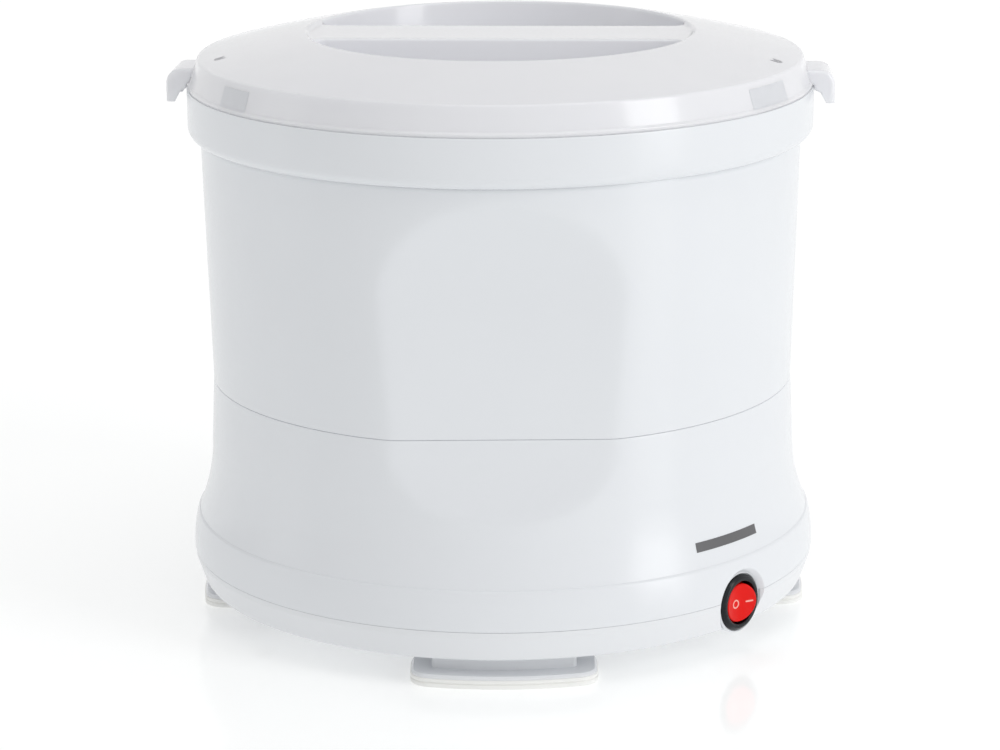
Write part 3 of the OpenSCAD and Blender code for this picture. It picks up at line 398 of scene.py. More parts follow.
floor_material, nodes, links, shader, coordinates = new_material("white_floor")
gloss = add_noise(nodes, links, coordinates, FLOOR_WAVES)
links.new(add_range(nodes, links, gloss, 0.09, 0.12), shader.inputs["Roughness"])
shader.inputs["Base Color"].default_value = FLOOR_COLOUR
shader.inputs["IOR"].default_value = FLOOR_IOR
shader.inputs["Emission Color"].default_value = (1.0, 1.0, 1.0, 1.0)
shader.inputs["Emission Strength"].default_value = FLOOR_GLOW

line = np.linspace(-FLOOR_HALF, FLOOR_HALF, FLOOR_LINES)
x, y = np.meshgrid(line, line, indexing="ij")
floor_points = np.stack([x, y, np.zeros_like(x)], axis=-1)
floor_part = part(floor_points, loop_rows=False, loop_cols=False, flip=True)
floor = bpy.data.objects.new("floor", new_mesh("floor", [floor_part]))
floor.data.materials.append(floor_material)
scene.collection.objects.link(floor)
print("floor:", 2 * FLOOR_HALF, "m across")

# %% [markdown]
# ### The finishes of the shells
#
# All the outer shells are white polypropylene from a polished tool. Close up it isn't one
# flat white: the skin has a fine ripple from the tool, its gloss varies a little, and the
# colour is a breath cooler or warmer from place to place. The cover's gloss varies least, since
# its band is seen at a slant that would show the grain as speckle. The soft pads are duller and
# nearly white. One function makes them all, so that they differ only in what is named.

# %% Plastics
DRIFT_WAVES, GRAIN_WAVES, RIPPLE_WAVES = 14.0, 700.0, 260.0
RIPPLE_DEEP = 0.00005
POLYMER_IOR, COAT_ROUGHNESS = 1.49, 0.05


def plastic(name, light, dark, roughness, ripple=0.25, coat=0.0, vary=0.15, specular=0.5):
    """Moulded plastic: colour drifts between dark and light, gloss varies by the share vary,
    and a shallow ripple a few millimetres long bends the reflections."""
    material, nodes, links, shader, coordinates = new_material(name)
    drift = add_range(nodes, links, add_noise(nodes, links, coordinates, DRIFT_WAVES), 0.0, 1.0)
    links.new(add_tint(nodes, links, drift, dark, light), shader.inputs["Base Color"])
    grain = add_noise(nodes, links, coordinates, GRAIN_WAVES, detail=4.0)
    gloss = add_range(nodes, links, grain, roughness * (1 - vary), roughness * (1 + vary))
    links.new(gloss, shader.inputs["Roughness"])
    wave = add_noise(nodes, links, coordinates, RIPPLE_WAVES, detail=2.0)
    add_bump(nodes, links, wave, shader, ripple, RIPPLE_DEEP)
    shader.inputs["IOR"].default_value = POLYMER_IOR
    shader.inputs["Specular IOR Level"].default_value = specular
    if coat:
        shader.inputs["Coat Weight"].default_value = coat
        shader.inputs["Coat Roughness"].default_value = COAT_ROUGHNESS
    return material


white = plastic("white_polypropylene", (0.805, 0.825, 0.855), (0.79, 0.81, 0.84), 0.22,
                ripple=0.08)
white_cover = plastic("white_cover", (0.815, 0.83, 0.855), (0.80, 0.815, 0.84), 0.26,
                      ripple=0.06, vary=0.02)
pad_soft = plastic("pad_elastomer", (0.95, 0.95, 0.93), (0.92, 0.92, 0.90), 0.5, ripple=0.3)
black_gloss = plastic("black_gloss", (0.006, 0.008, 0.010), (0.004, 0.005, 0.007), 0.2,
                      specular=0.28)
red_gloss = plastic("red_gloss", (0.78, 0.004, 0.001), (0.68, 0.002, 0.001), 0.2, specular=0.16)
mark_pale = plastic("mark_pale", (0.95, 0.5, 0.44), (0.92, 0.46, 0.4), 0.3)
mark_grey = plastic("mark_grey", (0.42, 0.42, 0.44), (0.34, 0.34, 0.36), 0.5)
badge_grey = plastic("badge_grey", (0.12, 0.12, 0.125), (0.09, 0.09, 0.095), 0.4)
print("plastics:", len(bpy.data.materials))

# %% [markdown]
# ### Milky plastic
#
# The lid is of a milky plastic that looks like a solid skin and still lets a little light
# through. True glass with haze inside would need many light paths and stay noisy. So a small
# part of the light passes straight through, by the alpha, and a share of the rest scatters a
# few millimetres deep inside the wall, which brightens thin walls from within.

# %% Milky lid material
MILKY_SHARE, MILKY_DEEP, MILKY_ROUGHNESS = 0.4, 0.003, 0.16
LID_ALPHA, LUG_SHADE_ALPHA = 0.93, 0.97


def milky(name, light, dark, alpha):
    """A pale glossy plastic of which the share 1 - alpha is seen straight through."""
    material = plastic(name, light, dark, MILKY_ROUGHNESS, ripple=0.06, coat=0.2)
    shader = material.node_tree.nodes["Principled BSDF"]
    shader.inputs["Alpha"].default_value = alpha
    shader.inputs["Subsurface Weight"].default_value = MILKY_SHARE
    shader.inputs["Subsurface Radius"].default_value = (1.0, 1.0, 1.0)
    shader.inputs["Subsurface Scale"].default_value = MILKY_DEEP
    return material


lid_milky = milky("lid_milky", (0.895, 0.90, 0.94), (0.87, 0.875, 0.915), LID_ALPHA)
# A darker copy of the lid's plastic for the lugs seen through the skirt, with painted shade where
# they block light.
lug_shade_milky = milky("lug_shade_milky", (0.82, 0.84, 0.89), (0.79, 0.81, 0.86), LUG_SHADE_ALPHA)
print("lid lets through", round(1 - LID_ALPHA, 2))

# %% [markdown]
# ## The wall of the tub and base
#
# Tub and base share one outer wall: a cone that widens upwards, and a flare like the foot of
# a bell that runs out into a nearly upright band. Front and back, a flat with curved ends
# cuts into it for the hands. The wall is one function of the angle and the height: the
# smaller of the round wall's radius and the distance to the flat, blended softly where they
# meet, as a polished tool would leave it. Cutting a block out of a turned shell would give the
# same form, but with a hard edge and a mesh that shades badly beside it.

# %% Sizes of the wall
COVER_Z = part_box("bottom_cover")[1].z
PART_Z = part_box("base_housing")[1].z
RIM_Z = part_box("bowl")[1].z
COLLAR_H = 0.0201
COLLAR_Z = RIM_Z - COLLAR_H
PART_R = 0.1202
TUB_TOP_R = 0.1230
FLARE_R = 0.1274
BASE_R = 0.1300
FLARE_Z = COVER_Z + 0.0163
FLARE_H = 0.0294
FLARE_TOP_R = PART_R + 0.0013
WALL = 0.0026
SCOOP_D = 0.1120
SCOOP_LOW_Z = PART_Z - 0.0027
SCOOP_HIGH_Z = PART_Z + 0.0523
SCOOP_LOW_R = 0.0510
SCOOP_HIGH_R = 0.0845
SCOOP_SOFT = 0.0011
SCOOP_SPAN = 0.8
LEAST_SINE = 0.3
LINE_Z = PART_Z - 0.0008
BAND_STEP, BAND_STEP_H, BAND_BULGE = 0.0006, 0.0008, 2.4
print("heights of cover, part line and rim:", [round(z, 4) for z in (COVER_Z, PART_Z, RIM_Z)])

# %% [markdown]
# From these sizes come three functions: the round wall's radius by height, the scoop's distance
# by height, and the radius of both together by angle and height.


# %% Shape of the wall
def mix(a, b, t):
    """A value t of the way from a to b."""
    return a + (b - a) * t


def round_radius(z):
    """Radius of the wall without scoops. Above the flare it is a cone in two pieces; the flare
    is an arc of radius (h * h + d * d) / 2d, where h is its height and d its rise. The band
    below it begins with a small rounded step outwards, which fades towards the cover."""
    rise = FLARE_R - FLARE_TOP_R
    arc_r = (FLARE_H**2 + rise**2) / (2 * rise)
    top = FLARE_Z + FLARE_H
    down = np.clip(top - z, 0, FLARE_H)
    flare = FLARE_TOP_R + arc_r - np.sqrt(arc_r**2 - down**2)
    cone = mix(PART_R, TUB_TOP_R, np.minimum((z - PART_Z) / (COLLAR_Z - PART_Z), 1))
    low_cone = mix(FLARE_TOP_R, PART_R, (z - top) / (PART_Z - top))
    up = np.clip((z - COVER_Z) / (FLARE_Z - COVER_Z), -0.2, 1)
    swell = BAND_STEP * np.clip((FLARE_Z - z) / BAND_STEP_H, 0, 1) ** 0.5
    band = BASE_R - (BASE_R - FLARE_R) * np.abs(up) ** BAND_BULGE + swell * np.abs(up) ** 2
    return np.select([z >= PART_Z, z >= top, z >= FLARE_Z], [cone, low_cone, flare], band)


def scoop_distance(z):
    """Distance from the axis to the scoop: flat between two heights, an arc past each. Each arc
    is followed over the share SCOOP_SPAN of its radius, which is past the wall."""
    below = np.clip(SCOOP_LOW_Z - z, 0, SCOOP_LOW_R * SCOOP_SPAN)
    above = np.clip(z - SCOOP_HIGH_Z, 0, SCOOP_HIGH_R * SCOOP_SPAN)
    low = SCOOP_LOW_R - np.sqrt(SCOOP_LOW_R**2 - below**2)
    high = SCOOP_HIGH_R - np.sqrt(SCOOP_HIGH_R**2 - above**2)
    return SCOOP_D + low + high


def wall_radius(angle, z):
    """The soft minimum of the round wall's radius and that of the flat at distance d, which is
    d / |sin angle|, with the sine kept from zero. The soft minimum of a and b is
    (a + b - sqrt((a - b)^2 + s^2)) / 2, with s the softness."""
    wall = round_radius(z)
    flat = scoop_distance(z) / np.maximum(np.abs(np.sin(angle)), LEAST_SINE)
    return (wall + flat - np.sqrt((wall - flat) ** 2 + SCOOP_SOFT**2)) / 2


print("wall radius in front:", wall_radius(np.array(-math.pi / 2), np.array(0.12)).round(4))

# %% [markdown]
# A shell of that wall is a closed outline carried round. Each point of the outline has a
# share, an offset and a height, and its radius is share x wall radius + offset. Share 1 keeps
# the point on the wall, also in the scoops, and share 0 puts it at a fixed radius.

# %% Shells that follow the wall
ROUND_COLS = 480


def wall_shell(rows):
    """Closed shell from outline rows (share, offset, height)."""
    rows = np.asarray(rows, float)
    share, offset, z = rows[:, 0, None], rows[:, 1, None], rows[:, 2, None]
    angle = np.linspace(0, 2 * math.pi, ROUND_COLS, endpoint=False)[None, :]
    r = share * wall_radius(angle, z) + offset
    x, y = r * np.cos(angle), r * np.sin(angle)
    return part(np.stack([x, y, np.broadcast_to(z, x.shape)], axis=-1))


def on_wall(outline, steps):
    """Outline rows on the wall, from corners (inset, height, radius of the round)."""
    points = rounded([(-inset, z, r) for inset, z, r in outline], steps=steps, closed=False)
    return np.column_stack([np.ones(len(points)), points])


def off_wall(outline, steps):
    """Outline rows at fixed radii, from corners (radius, height, radius of the round)."""
    points = rounded(outline, steps=steps, closed=False)
    return np.column_stack([np.zeros(len(points)), points])


def climb(inset, low, high, count):
    """Outline rows straight up or down the wall, without the two ends."""
    z = np.linspace(low, high, count + 2)[1:-1]
    return np.column_stack([np.ones(count), np.full(count, -inset), z])


print("columns round a shell:", ROUND_COLS)

# %% [markdown]
# ### Tub
#
# The tub is one moulding: the wall, a deck across it, and a chimney that keeps water out of
# the drive. A lip under the wall reaches into the base. All of that is one outline, so the
# shell closes on itself and has its true thickness everywhere.

# %% Outline of the tub
DECK_Z, DECK_TOP, DECK_R = PART_Z + 0.0063, PART_Z + 0.0089, 0.095
CHIMNEY_R, CHIMNEY_TOP, CHIMNEY_LOW = 0.0110, 0.1260, 0.1000
BORE_R, BUSH_R = 0.0050, 0.0070
BORE_TOP, BORE_LOW = CHIMNEY_TOP - 0.014, CHIMNEY_LOW + 0.010
TUB_RIM_Z, TUB_RIM_ROUND = RIM_Z - 0.0028, 0.0008
TUB_STEP, TUB_STEP_H = 0.0004, 0.0006
TUB_INSIDE_Z = TUB_RIM_Z - 0.01
FILLET, FILLET_MIDDLE = 0.004, 0.0012
LIP_Z, LIP_IN, LIP_OUT, LIP_ROUND = PART_Z - 0.005, 0.0055, 0.0029, 0.0006
LIP_TOP_Z = PART_Z + WALL
EDGE, EDGE_IN, EDGE_END, SEAM = 0.00035, 0.0003, 0.002, 0.00005

tub_rows = np.concatenate([
    on_wall([(LIP_OUT, LINE_Z + 0.0006, 0), (WALL, LINE_Z + SEAM, 0), (0, LINE_Z + SEAM, EDGE),
             (0, LINE_Z + EDGE_END, 0)], 4),
    climb(0, LINE_Z + EDGE_END, COLLAR_Z - 0.001, 88),
    on_wall([(0, COLLAR_Z, 0), (TUB_STEP, COLLAR_Z + TUB_STEP_H, 0),
             (TUB_STEP, TUB_RIM_Z, TUB_RIM_ROUND), (WALL, TUB_RIM_Z, TUB_RIM_ROUND),
             (WALL, TUB_INSIDE_Z, 0)], 4),
    climb(WALL, TUB_INSIDE_Z, DECK_TOP + FILLET, 26),
    on_wall([(WALL, DECK_TOP + FILLET, 0), (WALL + FILLET_MIDDLE, DECK_TOP + FILLET_MIDDLE, 0),
             (WALL + FILLET, DECK_TOP, 0)], 2),
    off_wall([(DECK_R, DECK_TOP, 0), (CHIMNEY_R, DECK_TOP, 0.003),
              (CHIMNEY_R, CHIMNEY_TOP, 0.0012), (BUSH_R, CHIMNEY_TOP, 0.0004),
              (BUSH_R, BORE_TOP, 0), (BORE_R, BORE_TOP, 0), (BORE_R, BORE_LOW, 0),
              (BUSH_R, BORE_LOW, 0), (BUSH_R, CHIMNEY_LOW, 0), (CHIMNEY_R, CHIMNEY_LOW, 0.0005),
              (CHIMNEY_R, DECK_Z, 0.002), (DECK_R, DECK_Z, 0)], 4),
    on_wall([(WALL + 0.002, DECK_Z, 0), (WALL, DECK_Z - 0.001, 0), (WALL, LIP_TOP_Z, 0),
             (LIP_IN, LIP_TOP_Z, 0), (LIP_IN, LIP_Z, LIP_ROUND), (LIP_OUT, LIP_Z, LIP_ROUND)], 3),
])
print("rows of the tub:", len(tub_rows))

# %% [markdown]
# Below the deck hang the posts for the motor and the bosses that the screws of the base bite
# into. A post is a turned outline with a blind hole, and it starts a little inside the deck, so
# that no gap shows where the two surfaces meet.

# %% Posts and bosses of the tub
POSTS = [(-0.100, 0.034), (-0.100, -0.034), (-0.028, 0.056), (-0.028, -0.056)]
POST_R, POST_LOW = 0.0050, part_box("bracket_grommets")[1].z
POST_EDGE, POST_SEGMENTS = 0.0004, 32
LUG_R, LUG_BOSS_R, LUG_TOP = 0.1070, 0.0045, 0.0877
PILOT_R, PILOT_DEEP = 0.00195, 0.012
LUG_ANGLES = np.radians([45, 135, 225, 315])
INTO_DECK = DECK_Z + 0.001


def on_circle(radius, angles):
    """Centres (x, y) at the given angles on a circle about the axis."""
    return list(zip(radius * np.cos(angles), radius * np.sin(angles)))


def hollow_post(centre, radius, low, high, deep=PILOT_DEEP):
    """A round post with a blind pilot hole up from its lower end."""
    outline = rounded([(0, high, 0), (radius, high, 0), (radius, low, POST_EDGE),
                       (PILOT_R, low, 0), (PILOT_R, low + deep, 0), (0, low + deep, 0)],
                      closed=False, steps=3)
    return part(revolve(outline, POST_SEGMENTS, centre))


LUGS = on_circle(LUG_R, LUG_ANGLES)
tub_parts = [wall_shell(tub_rows)]
tub_parts += [hollow_post(centre, POST_R, POST_LOW, INTO_DECK) for centre in POSTS]
tub_parts += [hollow_post(centre, LUG_BOSS_R, LUG_TOP, INTO_DECK) for centre in LUGS]
new_piece("tub_moulding", tub_parts, "base", white, "white_plastic", ["tub_housing"])

# %% [markdown]
# ### Base
#
# The base carries on the same wall below the parting line and flares out. It has a round
# dished opening with a seat for the switch, half of it below its own edge, and inside it the
# bosses for the screws. Its rim and the tub's are slightly rounded, and the thin groove between
# them is what one sees as a line round the machine.

# %% Wall of the base
SWITCH_TURN = math.radians(47.6)
SWITCH_Z = COVER_Z - 0.0026
SWITCH_FACE = BASE_R - 0.0032
NOTCH_OUT, NOTCH_IN, NOTCH_COLS, AWAY_COLS = 0.0142, 0.0118, 65, 464
KEPT, SQUEEZED = COVER_Z + 0.001, FLARE_Z - 0.0012
CREASE_BELOW, CREASE_ABOVE = 0.0009, 0.0001
LINE_EDGE = 0.0015


def notched_shell(rows):
    """A shell like the tub's whose lower edge is lifted over the switch in a circle about its
    axis. In the notch column k is at s = reach sin(t), z = switch + reach cos(t), where reach
    falls from the outer face to the inner one, so the edge between them is a dish. The rows
    above move up with the edge, less and less, up to the crease."""
    rows = np.asarray(rows, float)
    share, offset, z = rows[:, 0, None], rows[:, 1, None], rows[:, 2, None]
    reach = mix(NOTCH_OUT, NOTCH_IN, -offset / WALL)
    sink = COVER_Z - SWITCH_Z
    t = np.arccos(sink / reach) * np.linspace(-1, 1, NOTCH_COLS)[None, :]
    near = SWITCH_TURN - math.pi / 2 + np.arcsin(reach * np.sin(t) / BASE_R)
    round_it = np.linspace(0, 1, AWAY_COLS + 2)[None, 1:-1]
    away = mix(near[:, -1:], near[:, :1] + 2 * math.pi, round_it)
    angle = np.concatenate([near, away], axis=1)
    lift = np.concatenate([reach * np.cos(t) - sink, 0 * away], axis=1)
    z = z + lift * (1 - np.clip((z - KEPT) / (SQUEEZED - KEPT), 0, 1))
    r = share * wall_radius(angle, z) + offset
    return part(np.stack([r * np.cos(angle), r * np.sin(angle), z], axis=-1))


base_rows = np.concatenate([
    on_wall([(WALL, COVER_Z + SEAM, EDGE_IN), (0, COVER_Z + SEAM, EDGE),
             (0, COVER_Z + EDGE_END, 0)], 4),
    climb(0, COVER_Z + EDGE_END, FLARE_Z - CREASE_BELOW, 20),
    climb(0, FLARE_Z - CREASE_BELOW, FLARE_Z + CREASE_ABOVE, 12),
    climb(0, FLARE_Z, LINE_Z - LINE_EDGE, 54),
    on_wall([(0, LINE_Z - LINE_EDGE, 0), (0, LINE_Z - SEAM, EDGE),
             (WALL, LINE_Z - SEAM, EDGE_IN), (WALL, LINE_Z - EDGE_END, 0)], 4),
    climb(WALL, LINE_Z - 2 * LINE_EDGE, COVER_Z + EDGE_END, 30),
])
base_parts = [notched_shell(base_rows)]
print("rows of the base:", len(base_rows))

# %% [markdown]
# Inside, flat lugs carry the screws that hold the tub, and bosses take those of the cover. A
# lug is a ring between a round hole and an oval, so four rows of points make all its faces.

# %% Lugs and bosses of the base
LUG_T, LUG_Z = 0.004, LUG_TOP - 0.004
LUG_HOLE_R, LUG_SHIFT, LUG_LONG, LUG_WIDE = 0.0022, 0.0008, 0.0115, 0.0075
COVER_SCREW_R, COVER_BOSS_R, COVER_PILOT_DEEP = 0.1110, 0.0050, 0.016
COVER_BOSS_LOW, COVER_BOSS_TOP = COVER_Z + 0.0001, COVER_Z + 0.026


def lug_plate(angle, centre):
    """A flat ear on the inside of the wall with a hole for the screw, from an oval and the
    hole's circle: rows are the hole's wall, the top, the outer edge and the underside."""
    turn = np.linspace(0, 2 * math.pi, 48, endpoint=False)
    circle = np.stack([np.cos(turn), np.sin(turn)], axis=-1)
    hole = LUG_HOLE_R * circle
    outer = circle * (LUG_LONG, LUG_WIDE) + (LUG_SHIFT, 0)
    rings = [(hole, LUG_Z), (hole, LUG_Z + LUG_T), (outer, LUG_Z + LUG_T), (outer, LUG_Z)]
    c, s = math.cos(angle), math.sin(angle)
    points = [np.column_stack([centre[0] + p[:, 0] * c - p[:, 1] * s,
                               centre[1] + p[:, 0] * s + p[:, 1] * c,
                               np.full(len(p), z)]) for p, z in rings]
    return part(np.array(points))


base_parts += [lug_plate(angle, centre) for angle, centre in zip(LUG_ANGLES, LUGS)]
base_parts += [hollow_post(centre, COVER_BOSS_R, COVER_BOSS_LOW, COVER_BOSS_TOP, COVER_PILOT_DEEP)
               for centre in on_circle(COVER_SCREW_R, np.radians([27, 153, 207, 333]))]
print("base parts:", len(base_parts))

# %% [markdown]
# ### Switch
#
# A round rocker switch sits in its seat with a black glossy bezel. Its pieces are turned
# shapes about an axis that points out of the wall, so a small frame puts them there: local x
# runs to the right along the wall, y up and n outwards.

# %% Switch frame and seat
BEZEL_R, BEZEL_HOLE_R, BEZEL_T = 0.0115, 0.0088, 0.0020
SEAT_IN, SEAT_GAP, SEAT_R = BEZEL_R - 0.0015, 0.0003, BEZEL_R + 0.0010
SEAT_RISE, SEAT_DEEP, SEAT_LEAN = 0.0006, 0.0070, 0.0002


def at_switch(points):
    """Local (x, y, n) points of the switch as points of the machine."""
    x, y, n = points[..., 0], points[..., 1], points[..., 2] + SWITCH_FACE
    s, c = math.sin(SWITCH_TURN), math.cos(SWITCH_TURN)
    return np.stack([n * s + x * c, x * s - n * c, SWITCH_Z + y], axis=-1)


def switch_turned(outline, segments=96):
    """An outline of (radius, n) turned about the switch's axis."""
    return part(at_switch(revolve(np.asarray(outline, float), segments)))


seat = rounded([(SEAT_IN, -SEAT_DEEP, 0), (SEAT_IN, -SEAT_GAP, 0),
                (BEZEL_R + SEAT_GAP, -SEAT_GAP, 0), (BEZEL_R + SEAT_GAP, SEAT_RISE, 0.0004),
                (SEAT_R, SEAT_RISE, 0.0006), (SEAT_R + SEAT_LEAN, -SEAT_DEEP, 0)], steps=5)
base_parts.append(switch_turned(seat))
new_piece("base_moulding", base_parts, "base", white, "white_plastic", ["base_housing"])

# %% [markdown]
# The switch's body is one black moulding: a barrel in the wall, a bezel with a slanting rim,
# and a well in which the rocker moves. Its outline goes round all of them in one go.

# %% Switch body with its bezel
BODY_R, BODY_H, WELL_DEEP = 0.0103, 0.0160, 0.0080
BEZEL_EDGE_T, BEZEL_SLANT = 0.0009, 0.0012
bezel = rounded([(0, -BODY_H, 0), (BODY_R, -BODY_H, 0.0005), (BODY_R, 0, 0),
                 (BEZEL_R, 0, 0.0002), (BEZEL_R, BEZEL_EDGE_T, 0.0005),
                 (BEZEL_R - BEZEL_SLANT, BEZEL_T, 0.0009), (BEZEL_HOLE_R, BEZEL_T, 0.0006),
                 (BEZEL_HOLE_R, -WELL_DEEP, 0.0003), (0, -WELL_DEEP, 0)], steps=6, closed=False)
new_piece("switch_case", [switch_turned(bezel)], "base", black_gloss, "black_gloss",
          ["switch_body"])

# %% [markdown]
# The rocker is a round button with a hollowed face. It tilts about an upright pin, so the
# end pressed in says off or on: here the left end, with the ring, is in. It could be a turned
# shape with a cylinder cut out of its face. Here the rings of the turned shape take their
# heights from the cylinder's formula instead, so the edge stays round and clean all the way.

# %% Rocker
ROCKER_R, ROCKER_TILT, PIVOT_N = 0.0079, math.radians(8), -0.0030
FACE_HIGH, DISH_R, DISH_DEEP, FACE_ROUND = 0.0058, 0.0220, 0.0012, 0.0006
HEEL_DEEP, SIDE_ROWS = 0.003, 4
PIN_R, PIN_OUT, PIN_COLS = 0.0012, BEZEL_HOLE_R + 0.0007, 24


def dish(x):
    """Height of the hollow face over the pin: a cylinder of radius R about an upright line,
    (height at the middle) + R - sqrt(R * R - x * x)."""
    return FACE_HIGH - DISH_DEEP + DISH_R - np.sqrt(DISH_R**2 - x**2)


def tilted(points):
    """Local points about the pin, tilted to the off position and put in the machine."""
    x, y, n = points[..., 0], points[..., 1], points[..., 2]
    c, s = math.cos(ROCKER_TILT), math.sin(ROCKER_TILT)
    return at_switch(np.stack([x * c - n * s, y, x * s + n * c + PIVOT_N], axis=-1))


def rocker_part():
    """Rings from the middle of the face to its edge, round the edge, down the side and in to
    the heel, whose depth falls from the middle to both ends."""
    angle = np.linspace(0, 2 * math.pi, 96, endpoint=False)
    u = np.linspace(0, 1, 20)[:, None]
    face_r = u * (ROCKER_R - FACE_ROUND)
    bend = np.linspace(0, math.pi / 2, 7)[1:, None]
    edge_r = ROCKER_R - FACE_ROUND + FACE_ROUND * np.sin(bend)
    side_r = np.full((SIDE_ROWS, 1), ROCKER_R)
    heel_r = np.linspace(1, 0, 8)[:, None] * ROCKER_R
    r = np.concatenate([face_r, edge_r, side_r, heel_r])
    x, y = r * np.cos(angle), r * np.sin(angle)
    top = dish(x)
    drop = np.concatenate([0 * face_r, FACE_ROUND * (1 - np.cos(bend))])
    n = top.copy()
    n[: len(drop)] -= drop
    heel = -HEEL_DEEP + HEEL_DEEP * np.minimum(np.abs(x) / ROCKER_R, 1)
    fall = np.linspace(0, 1, SIDE_ROWS + 1)[1:, None]
    side = slice(len(drop), len(drop) + SIDE_ROWS)
    n[side] = mix(n[len(drop) - 1], heel[side], fall)
    n[side.stop:] = heel[side.stop:]
    return part(tilted(np.stack([x, y, n], axis=-1)), loop_rows=False)


pin_turn = np.linspace(0, 2 * math.pi, PIN_COLS, endpoint=False)
pin_r = np.array([0, PIN_R, PIN_R, 0])[:, None]
pin_y = np.array([-PIN_OUT, -PIN_OUT, PIN_OUT, PIN_OUT])[:, None]
pin = np.stack([pin_r * np.cos(pin_turn), pin_y + 0 * pin_turn, pin_r * np.sin(pin_turn)], axis=-1)
rocker_parts = [rocker_part(), part(tilted(pin), loop_rows=False)]
new_piece("rocker_button", rocker_parts, "rocker", red_gloss, "red_gloss", ["rocker"])

# %% [markdown]
# The ring and the bar on the rocker are printed in a pale ink. A thin inlay follows the hollow
# face by the same formula, so it stays sharp at any distance, which a painted picture wouldn't.

# %% Marks of the rocker
MARK_T, MARK_DEEP, RING_X, BAR_X = 0.00008, 0.0002, -0.0025, 0.0046
RING_OUTER, RING_INNER = 0.0018, 0.0013
BAR_OUTER, BAR_INNER, BAR_SQUARE = (0.0017, 0.0003), (0.0001, 0.00005), 0.25


def inlay(outer, inner):
    """A thin closed band between two outlines on the hollow face, MARK_T proud of it."""
    rings = [(inner, -MARK_DEEP), (inner, MARK_T), (outer, MARK_T), (outer, -MARK_DEEP)]
    rows = [np.column_stack([p, dish(p[:, 0]) + lift]) for p, lift in rings]
    return part(tilted(np.array(rows)))


turn = np.linspace(0, 2 * math.pi, 48, endpoint=False)
circle = np.stack([np.cos(turn), np.sin(turn)], axis=-1)
ring_mark = inlay(circle * RING_OUTER + (RING_X, 0), circle * RING_INNER + (RING_X, 0))
bar = np.sign(circle) * np.abs(circle) ** BAR_SQUARE
bar_mark = inlay(bar * BAR_OUTER + (BAR_X, 0), bar * BAR_INNER + (BAR_X, 0))
new_piece("rocker_marks", [ring_mark, bar_mark], "rocker", mark_pale, "red_gloss")

# %% [markdown]
# ### Badge
#
# Above the switch sits a small plain grey bar, printed flat on the wall. It is left bare. It is
# a film: a face that follows the wall a hair outside it, and a back just inside.

# %% Badge
BADGE_W, BADGE_H, BADGE_Z = 0.0362, 0.0037, FLARE_Z + 0.0079
BADGE_TURN, BADGE_R = SWITCH_TURN - math.radians(1.75), 0.1245
PRINT_OUT, PRINT_IN = 0.0001, 0.0003
across = np.linspace(-0.5, 0.5, 40)[None, :] * BADGE_W / BADGE_R + BADGE_TURN - math.pi / 2
up = np.linspace(-0.5, 0.5, 6)[:, None] * BADGE_H + BADGE_Z


def turned_sheet(r, angle, z):
    """Points at radius r, angle and height z, as one grid."""
    r, angle, z = np.broadcast_arrays(r, angle, z)
    return np.stack([r * np.cos(angle), r * np.sin(angle), z], axis=-1)


def border(grid):
    """The points round the edge of a grid, once round."""
    return np.concatenate([grid[0, :-1], grid[:-1, -1], grid[-1, :0:-1], grid[:0:-1, 0]])


def film(face, back):
    """A thin closed film from two grids whose columns run anticlockwise and rows upwards."""
    return [part(face, False, False, flip=False), part(back, False, False, flip=True),
            part(np.array([border(face), border(back)]), loop_rows=False, flip=True)]


badge_r = wall_radius(across, up)
badge_parts = film(turned_sheet(badge_r + PRINT_OUT, across, up),
                   turned_sheet(badge_r - PRINT_IN, across, up))
new_piece("badge_bar", badge_parts, "base", badge_grey, "badge_grey", ["plain_badge"])

# %% [markdown]
# ## Bowl
#
# The bowl lifts out of the tub. Its rim folds over into the collar that shows all round, its
# wall has six upright ribs that tumble the potatoes, and a tube in its floor passes the
# chimney. One outline carries all of that.

# %% Outline of the bowl
COLLAR_R, COLLAR_WALL, COLLAR_ROUND = 0.1280, 0.0026, 0.0048
BOWL_R, BOWL_WALL, FLANGE = 0.1040, 0.0025, 0.0025
BOWL_Z, BOWL_FLOOR, BOWL_ROUND = 0.1120, 0.1145, 0.008
TUBE_IN, TUBE_OUT, TUBE_TOP, TUBE_ROUND = 0.0135, 0.0160, 0.1300, 0.0006
LIP_R, LIP_TOP, FOLD_Z = TUB_TOP_R + 0.0003, COLLAR_Z + 0.005, COLLAR_Z + 0.007
COLLAR_IN, BOWL_OUT, FLANGE_Z = COLLAR_R - COLLAR_WALL, BOWL_R + BOWL_WALL, RIM_Z - FLANGE
RIB_HEIGHTS = [BOWL_FLOOR + 0.014, BOWL_FLOOR + 0.018, BOWL_FLOOR + 0.05,
               RIM_Z - 0.018, RIM_Z - 0.014, RIM_Z - 0.010]

bowl_outline = rounded([
    (BOWL_R, RIM_Z, 0.0008), (COLLAR_R, RIM_Z, 0.0004), (COLLAR_R, COLLAR_Z, COLLAR_ROUND),
    (LIP_R, COLLAR_Z, 0.0004), (LIP_R, LIP_TOP, 0), (COLLAR_IN, FOLD_Z, 0),
    (COLLAR_IN, FLANGE_Z, 0.001), (BOWL_OUT, FLANGE_Z, 0.001), (BOWL_OUT, BOWL_Z, BOWL_ROUND),
    (TUBE_IN, BOWL_Z, 0.001), (TUBE_IN, TUBE_TOP, TUBE_ROUND), (TUBE_OUT, TUBE_TOP, TUBE_ROUND),
    (TUBE_OUT, BOWL_FLOOR, 0.002), (BOWL_R, BOWL_FLOOR, BOWL_ROUND),
    *[(BOWL_R, z, 0) for z in RIB_HEIGHTS]], steps=7)
print("points of the bowl's outline:", len(bowl_outline))

# %% [markdown]
# The ribs are half-round bumps on the inside of the wall. They aren't pieces stuck on, but
# part of the same surface: where a column of the turned grid lies within a rib, the rows
# between the two ends of the ribs move inwards by the height of the bump.

